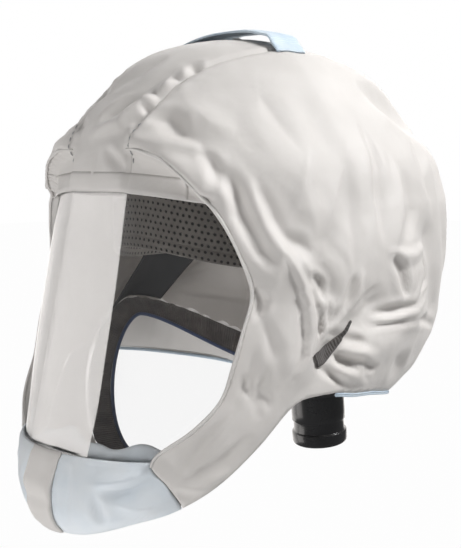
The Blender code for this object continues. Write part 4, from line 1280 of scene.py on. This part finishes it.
def turned(name, profile, node, surface, sides=96):
    """Ring turned about the hose axis from radius and height pairs."""
    angles = np.arange(sides) * 2 * math.pi / sides
    points = [lean @ Vector((r * math.sin(a), -r * math.cos(a), h)) for r, h in profile for a in angles]
    count = len(profile)
    faces = []
    for r in range(count):
        n = (r + 1) % count
        for c in range(sides):
            d = (c + 1) % sides
            faces.append((r * sides + c, r * sides + d, n * sides + d, n * sides + c))
    piece(name, (points, faces), surface, [node])


end = FLOOR_DROP - HOSE_END_DROP
high = FLOOR_DROP - HOSE_TOP_DROP
R = HOSE_RADIUS
# Radius from the outside and height above the end, in mm, up to the collar below the flange.
NOSE = [
    (-2.2, 0.0), (-1.0, 0.3), (0.0, 1.2), (0.5, 2.6), (0.5, 6.0), (0.5, 9.6), (0.1, 10.1), (-1.0, 10.4), (-1.1, 10.8),
    (-1.1, 15.0), (-1.1, 18.4), (-1.0, 18.8), (-0.3, 19.0), (0.0, 19.4), (0.0, 26.0),
]
profile = [(HOSE_BORE, high), (HOSE_BORE, end + 0.0004), (HOSE_BORE + 0.0004, end)]
profile += [(R + out * 0.001, end + up * 0.001) for out, up in NOSE]
profile += [(R, -0.0060), (R, high - 0.0010), (R - 0.0006, high), (HOSE_BORE + 0.0004, high)]
turned("connector_body", profile, "hose_connector", plastic)
low = -GAP - FLANGE_THICK
bore, rim = R + GAP, FLANGE_RADIUS
profile = [(bore, -GAP), (bore, low + 0.0004), (bore + 0.0004, low), (rim - 0.0012, low), (rim - 0.0003, low + 0.0004)]
turned("connector_flange", profile + [(rim, low + 0.0013), (rim, -GAP)], "hose_flange", plastic)
low = CLOTH + GAP
top = low + FLANGE_THICK
profile = [(bore, low), (bore, top), (rim - 0.0022, top), (rim - 0.001, top - 0.0012), (rim - 0.001, low)]
turned("connector_ring", profile, "retaining_ring", matt_plastic)


# Head harness.
def band_point(turn, height, depth):
    """Place on the headband's line at a depth below its outer face."""
    angle = np.radians(turn)
    out = np.stack([np.sin(angle) / BAND_HALF_WIDTH, -np.cos(angle) / BAND_HALF_LENGTH, 0 * angle], -1)
    out /= np.linalg.norm(out, axis=-1, keepdims=True)
    flat = np.stack([BAND_HALF_WIDTH * np.sin(angle), BAND_CENTRE - BAND_HALF_LENGTH * np.cos(angle), height], -1)
    return flat - out * np.asarray(depth)[..., None]


def band_low(turn):
    """Height of the headband's lower edge."""
    return -BAND_FRONT_DROP - BAND_SIDE_DROP * ease(0.0, 70.0, np.abs(turn))


turns = np.linspace(-BAND_END_TURN, BAND_END_TURN, 150)
# Share of the headband's height, and how far it stands proud there, in tenths of a millimetre.
BAND_PROFILE = [
    (1, -12), (0.985, -3), (0.95, 1), (0.9, 2), (0.8, 4), (0.65, 5), (0.5, 5), (0.35, 4), (0.22, 3), (0.2, -1),
    (0.185, -6), (0.17, 0), (0.12, 3), (0.06, 1), (0.02, -3), (0, -12),
]
outer, inner = [], []
for level, proud in BAND_PROFILE:
    lift = proud * 0.0001
    height = band_low(turns) + BAND_HEIGHT * level
    ripple = 0.00025 * np.sin(turns * 0.9) * (1 - abs(2 * level - 1))
    outer.append(band_point(turns, height, -lift - ripple))
    inner.append(band_point(turns, height, BAND_THICK + np.minimum(lift, 0.0)))
uv = grid_uv([level * BAND_HEIGHT for level, proud in BAND_PROFILE], np.radians(turns) * 0.086)
band = piece("headband_foam", slab(outer, inner), foam, ["headband"], uv=uv)


PLATE_ROWS, PLATE_COLUMNS, PLATE_RIB = 26, 24, 0.0007


def plate_grid(side):
    """Grid of places on an ear plate, between the band and the seal."""
    turns = side * np.linspace(PLATE_TURN - PLATE_SPREAD, PLATE_TURN + PLATE_SPREAD, PLATE_COLUMNS)
    seat = seal_edge(turns) + seal_outward(turns) * SEAL_BAND * 0.8
    seat[:, 2] += SEAL_THICK + PLATE_THICK
    top = band_point(turns, np.full(PLATE_COLUMNS, PLATE_TOP), -GAP)
    lower = band_point(turns, band_low(turns), -GAP)
    knots = np.array([top, lower, lower * 0.55 + seat * 0.45, seat])
    rows = []
    for at in np.linspace(0.0, 1.0, PLATE_ROWS) * 3:
        i = min(int(at), 2)
        t = at - i
        before, after = knots[max(i - 1, 0)], knots[min(i + 2, 3)]
        a, b = knots[i], knots[i + 1]
        rows.append(a + (b - a) * t + 0.12 * t * (1 - t) * ((a - before) * (1 - t) - (after - b) * t))
    return np.array(rows)


for side, name in ((1, "left"), (-1, "right")):
    back = plate_grid(side)
    thick = np.full((PLATE_ROWS, PLATE_COLUMNS), PLATE_THICK)
    thick[0] = thick[-1] = thick[:, 0] = thick[:, -1] = PLATE_THICK * 0.55
    thick[9:20, 6:18] += PLATE_RIB
    thick[10:19, 8:16] -= PLATE_RIB
    face = back.copy()
    face[..., 0] += side * thick
    piece("ear_plate_cover_" + name, slab(face, back), matt_plastic, ["ear_plate_" + name])

# Light-blue edging under the back's lower edge.
edging = np.linspace(EDGING_TURN, 180.0, 120)
edging = np.concatenate([edging, -edging[-2::-1]])
path = cloth_point(edging, np.full(len(edging), 2.0), CLOTH / 2)
path[:, 2] -= BINDING_RADIUS + GAP
piece("hem_edging", tube(path, BINDING_RADIUS, 10, squash=0.8), webbing, ["hem_binding"])

# Elastic strips in the ear gathers, laid on the finished cloth.
for side, name in ((1, "left"), (-1, "right")):
    outer, inner = [], []
    for across in np.linspace(-0.5, 0.5, 9):
        line, under = [], []
        for share in np.linspace(0, 1, 30):
            width = 0.0105 * (0.16 + 0.84 * float(ease(0.0, 0.85, share)))
            turn = 85.8 - 14.0 * share - math.degrees(across * width * 0.55 / HALF_WIDTH)
            height = -CHIN_DROP * (0.262 + 0.118 * share + 0.02 * math.sin(share * math.pi)) + across * width * 0.85
            run = height_run(turn, height)
            rib = 0.0002 * math.cos(across * 8 * math.pi)
            way = bare_normal(side * turn, run)
            place = np.array(on_cloth(bare_point(side * turn, run), way, 0.0005)[0])
            line.append(place + way * (STRIP_THICK * (0.5 if abs(across) > 0.49 else 0.9) + rib))
            under.append(place)
        outer.append(line)
        inner.append(under)
    uv = slab_uv(9, 30, 0.010, 0.034)
    strip = piece("ear_elastic_" + name, slab(outer, inner), elastic, ["ear_strip_" + name], uv=uv)

# Carrying loop across the crown.
loop_steps = np.array([-1.0, -0.96, -0.90, -0.82, -0.6, -0.3, 0.0, 0.3, 0.55, 0.75, 0.84, 0.89, 0.93, 0.965, 1.0])
loop_lifts = np.array([0.0, 0.3, 0.5, 0.6, 0.8, 2.0, 3.2, 4.0, 4.8, 5.9, 6.2, 5.4, 3.6, 1.6, 0.0]) * 0.001
above, under = [], []
for step in np.linspace(-1, 1, 81):
    rise = float(np.interp(step, loop_steps, loop_lifts))
    line, low_line = [], []
    for share in np.linspace(-0.5, 0.5, 13):
        y = LOOP_PLACE + LOOP_WIDTH * share
        x = step * LOOP_HALF_SPAN
        foot = on_cloth((x, y, 0.11), (0.0, 0.0, 1.0), 0.0006)[0]
        z = foot.z + rise
        sag = -0.0005 * math.cos(share * math.pi) * math.sin(step * 9)
        rim = 0.0003 if abs(abs(share) - 0.42) < 0.05 else 0.0
        low_line.append((x, y, z + sag))
        line.append((x, y, z + sag + LOOP_THICK + rim - (0.0004 if abs(share) > 0.49 else 0.0)))
    above.append(line)
    under.append(low_line)
uv = slab_uv(81, 13, 0.125, 0.027)
carry = piece("loop_band", slab(above, under), webbing, ["carry_loop"], uv=uv)

# Camera, at the photograph's viewing angle.
CAMERA_TURN, CAMERA_PITCH = math.radians(47.0), math.radians(5.8)
right = Vector((math.cos(CAMERA_TURN), math.sin(CAMERA_TURN), 0.0))
level = math.cos(CAMERA_PITCH)
ahead = Vector((-math.sin(CAMERA_TURN) * level, math.cos(CAMERA_TURN) * level, -math.sin(CAMERA_PITCH)))
above = right.cross(ahead)
camera_data = bpy.data.cameras.new("camera")
camera_data.lens = 72.6
camera_data.sensor_width = 36.0
camera_data.sensor_fit = "AUTO"
camera = bpy.data.objects.new("camera", camera_data)
pose = Matrix((right, above, -ahead)).transposed().to_4x4()
pose.translation = (0.5792, -0.5545, 0.0530)
camera.matrix_world = pose
bpy.context.scene.collection.objects.link(camera)
bpy.context.scene.camera = camera


def lamp(name, place, target, size, power, mirrored=False):
    data = bpy.data.lights.new(name, "AREA")
    data.shape = "RECTANGLE"
    data.size, data.size_y = size
    data.energy = power
    made = bpy.data.objects.new(name, data)
    made.location = place
    made.rotation_euler = (Vector(target) - Vector(place)).to_track_quat("-Z", "Y").to_euler()
    made.visible_glossy = mirrored
    made.visible_camera = False
    bpy.context.scene.collection.objects.link(made)
    return made


lamp("key", (0.95, 0.62, 1.05), (0.0, 0.0, 0.0), (0.42, 0.42), 28.0, mirrored=True)
lamp("top", (-0.1, 0.0, 1.3), (0.0, 0.0, 0.0), (1.0, 1.0), 3.0)
lamp("rim", (-0.7, 0.9, 0.5), (0.0, 0.0, 0.0), (0.8, 0.8), 2.0, mirrored=True)
lamp("front", (0.35, -1.45, -0.42), (0.0, 0.0, -0.08), (0.9, 0.9), 11.5)
lamp("bounce", (0.0, -0.2, -1.1), (0.0, 0.0, 0.0), (1.6, 1.6), 10.0)
# Light that comes through the thin cloth.
lamp("through_cloth", (0.055, -0.045, 0.03), (-0.10, 0.07, -0.03), (0.10, 0.10), 0.11)
world = bpy.data.worlds.new("studio")
world.use_nodes = True
nodes = world.node_tree.nodes
soft = nodes["Background"]
soft.inputs["Color"].default_value = (1.0, 1.0, 1.0, 1.0)
soft.inputs["Strength"].default_value = 0.15
seen = nodes.new("ShaderNodeBackground")
seen.inputs["Color"].default_value = (1.0, 1.0, 1.0, 1.0)
chosen, rays = nodes.new("ShaderNodeMixShader"), nodes.new("ShaderNodeLightPath")
for source, target in (
    (rays.outputs["Is Camera Ray"], chosen.inputs["Fac"]),
    (soft.outputs[0], chosen.inputs[1]),
    (seen.outputs[0], chosen.inputs[2]),
    (chosen.outputs[0], nodes["World Output"].inputs["Surface"]),
):
    world.node_tree.links.new(source, target)
bpy.context.scene.world = world
bpy.context.scene.view_settings.view_transform = "Standard"


def glow(name, strength, colour=(1.0, 1.0, 1.0)):
    made = bpy.data.materials.new(name)
    made.use_nodes = True
    nodes = made.node_tree.nodes
    nodes.remove(nodes["Principled BSDF"])
    light = nodes.new("ShaderNodeEmission")
    light.inputs["Color"].default_value = (*colour, 1.0)
    light.inputs["Strength"].default_value = strength
    made.node_tree.links.new(light.outputs[0], nodes["Material Output"].inputs["Surface"])
    return made


def staged(name, points, faces, surface, camera_only=False, glossy_only=False):
    mesh = bpy.data.meshes.new(name)
    mesh.from_pydata(points, [], faces)
    mesh.materials.append(surface)
    made = bpy.data.objects.new(name, mesh)
    bpy.context.scene.collection.objects.link(made)
    made.visible_camera = not glossy_only
    made.visible_diffuse = not (camera_only or glossy_only)
    made.visible_glossy = not camera_only
    made.visible_transmission = not (camera_only or glossy_only)
    made.visible_shadow = False
    made.visible_volume_scatter = False
    return made


# Pale floor, seen but giving no light of its own.
FLOOR = -0.75
staged("floor", [(-12, -12, FLOOR), (12, -12, FLOOR), (12, 12, FLOOR), (-12, 12, FLOOR)], [(0, 1, 2, 3)],
       glow("floor_white", 0.985), camera_only=True)

# Softboxes that the visor mirrors: a bright one for its middle and a dim one for its far side.
def softbox(name, first, last, strength, colour=(1.0, 0.965, 0.94)):
    points = []
    for angle in np.radians(np.linspace(first, last, 16)):
        for height in (-1.6, 1.9):
            points.append((2.6 * math.sin(angle), -2.6 * math.cos(angle), height))
    faces = [(2 * i, 2 * i + 1, 2 * i + 3, 2 * i + 2) for i in range(15)]
    staged(name, points, faces, glow(name + "_white", strength, colour), glossy_only=True)


softbox("softbox", -31.0, -66.0, 2.3)
softbox("far_softbox", -70.0, -170.0, 1.5)
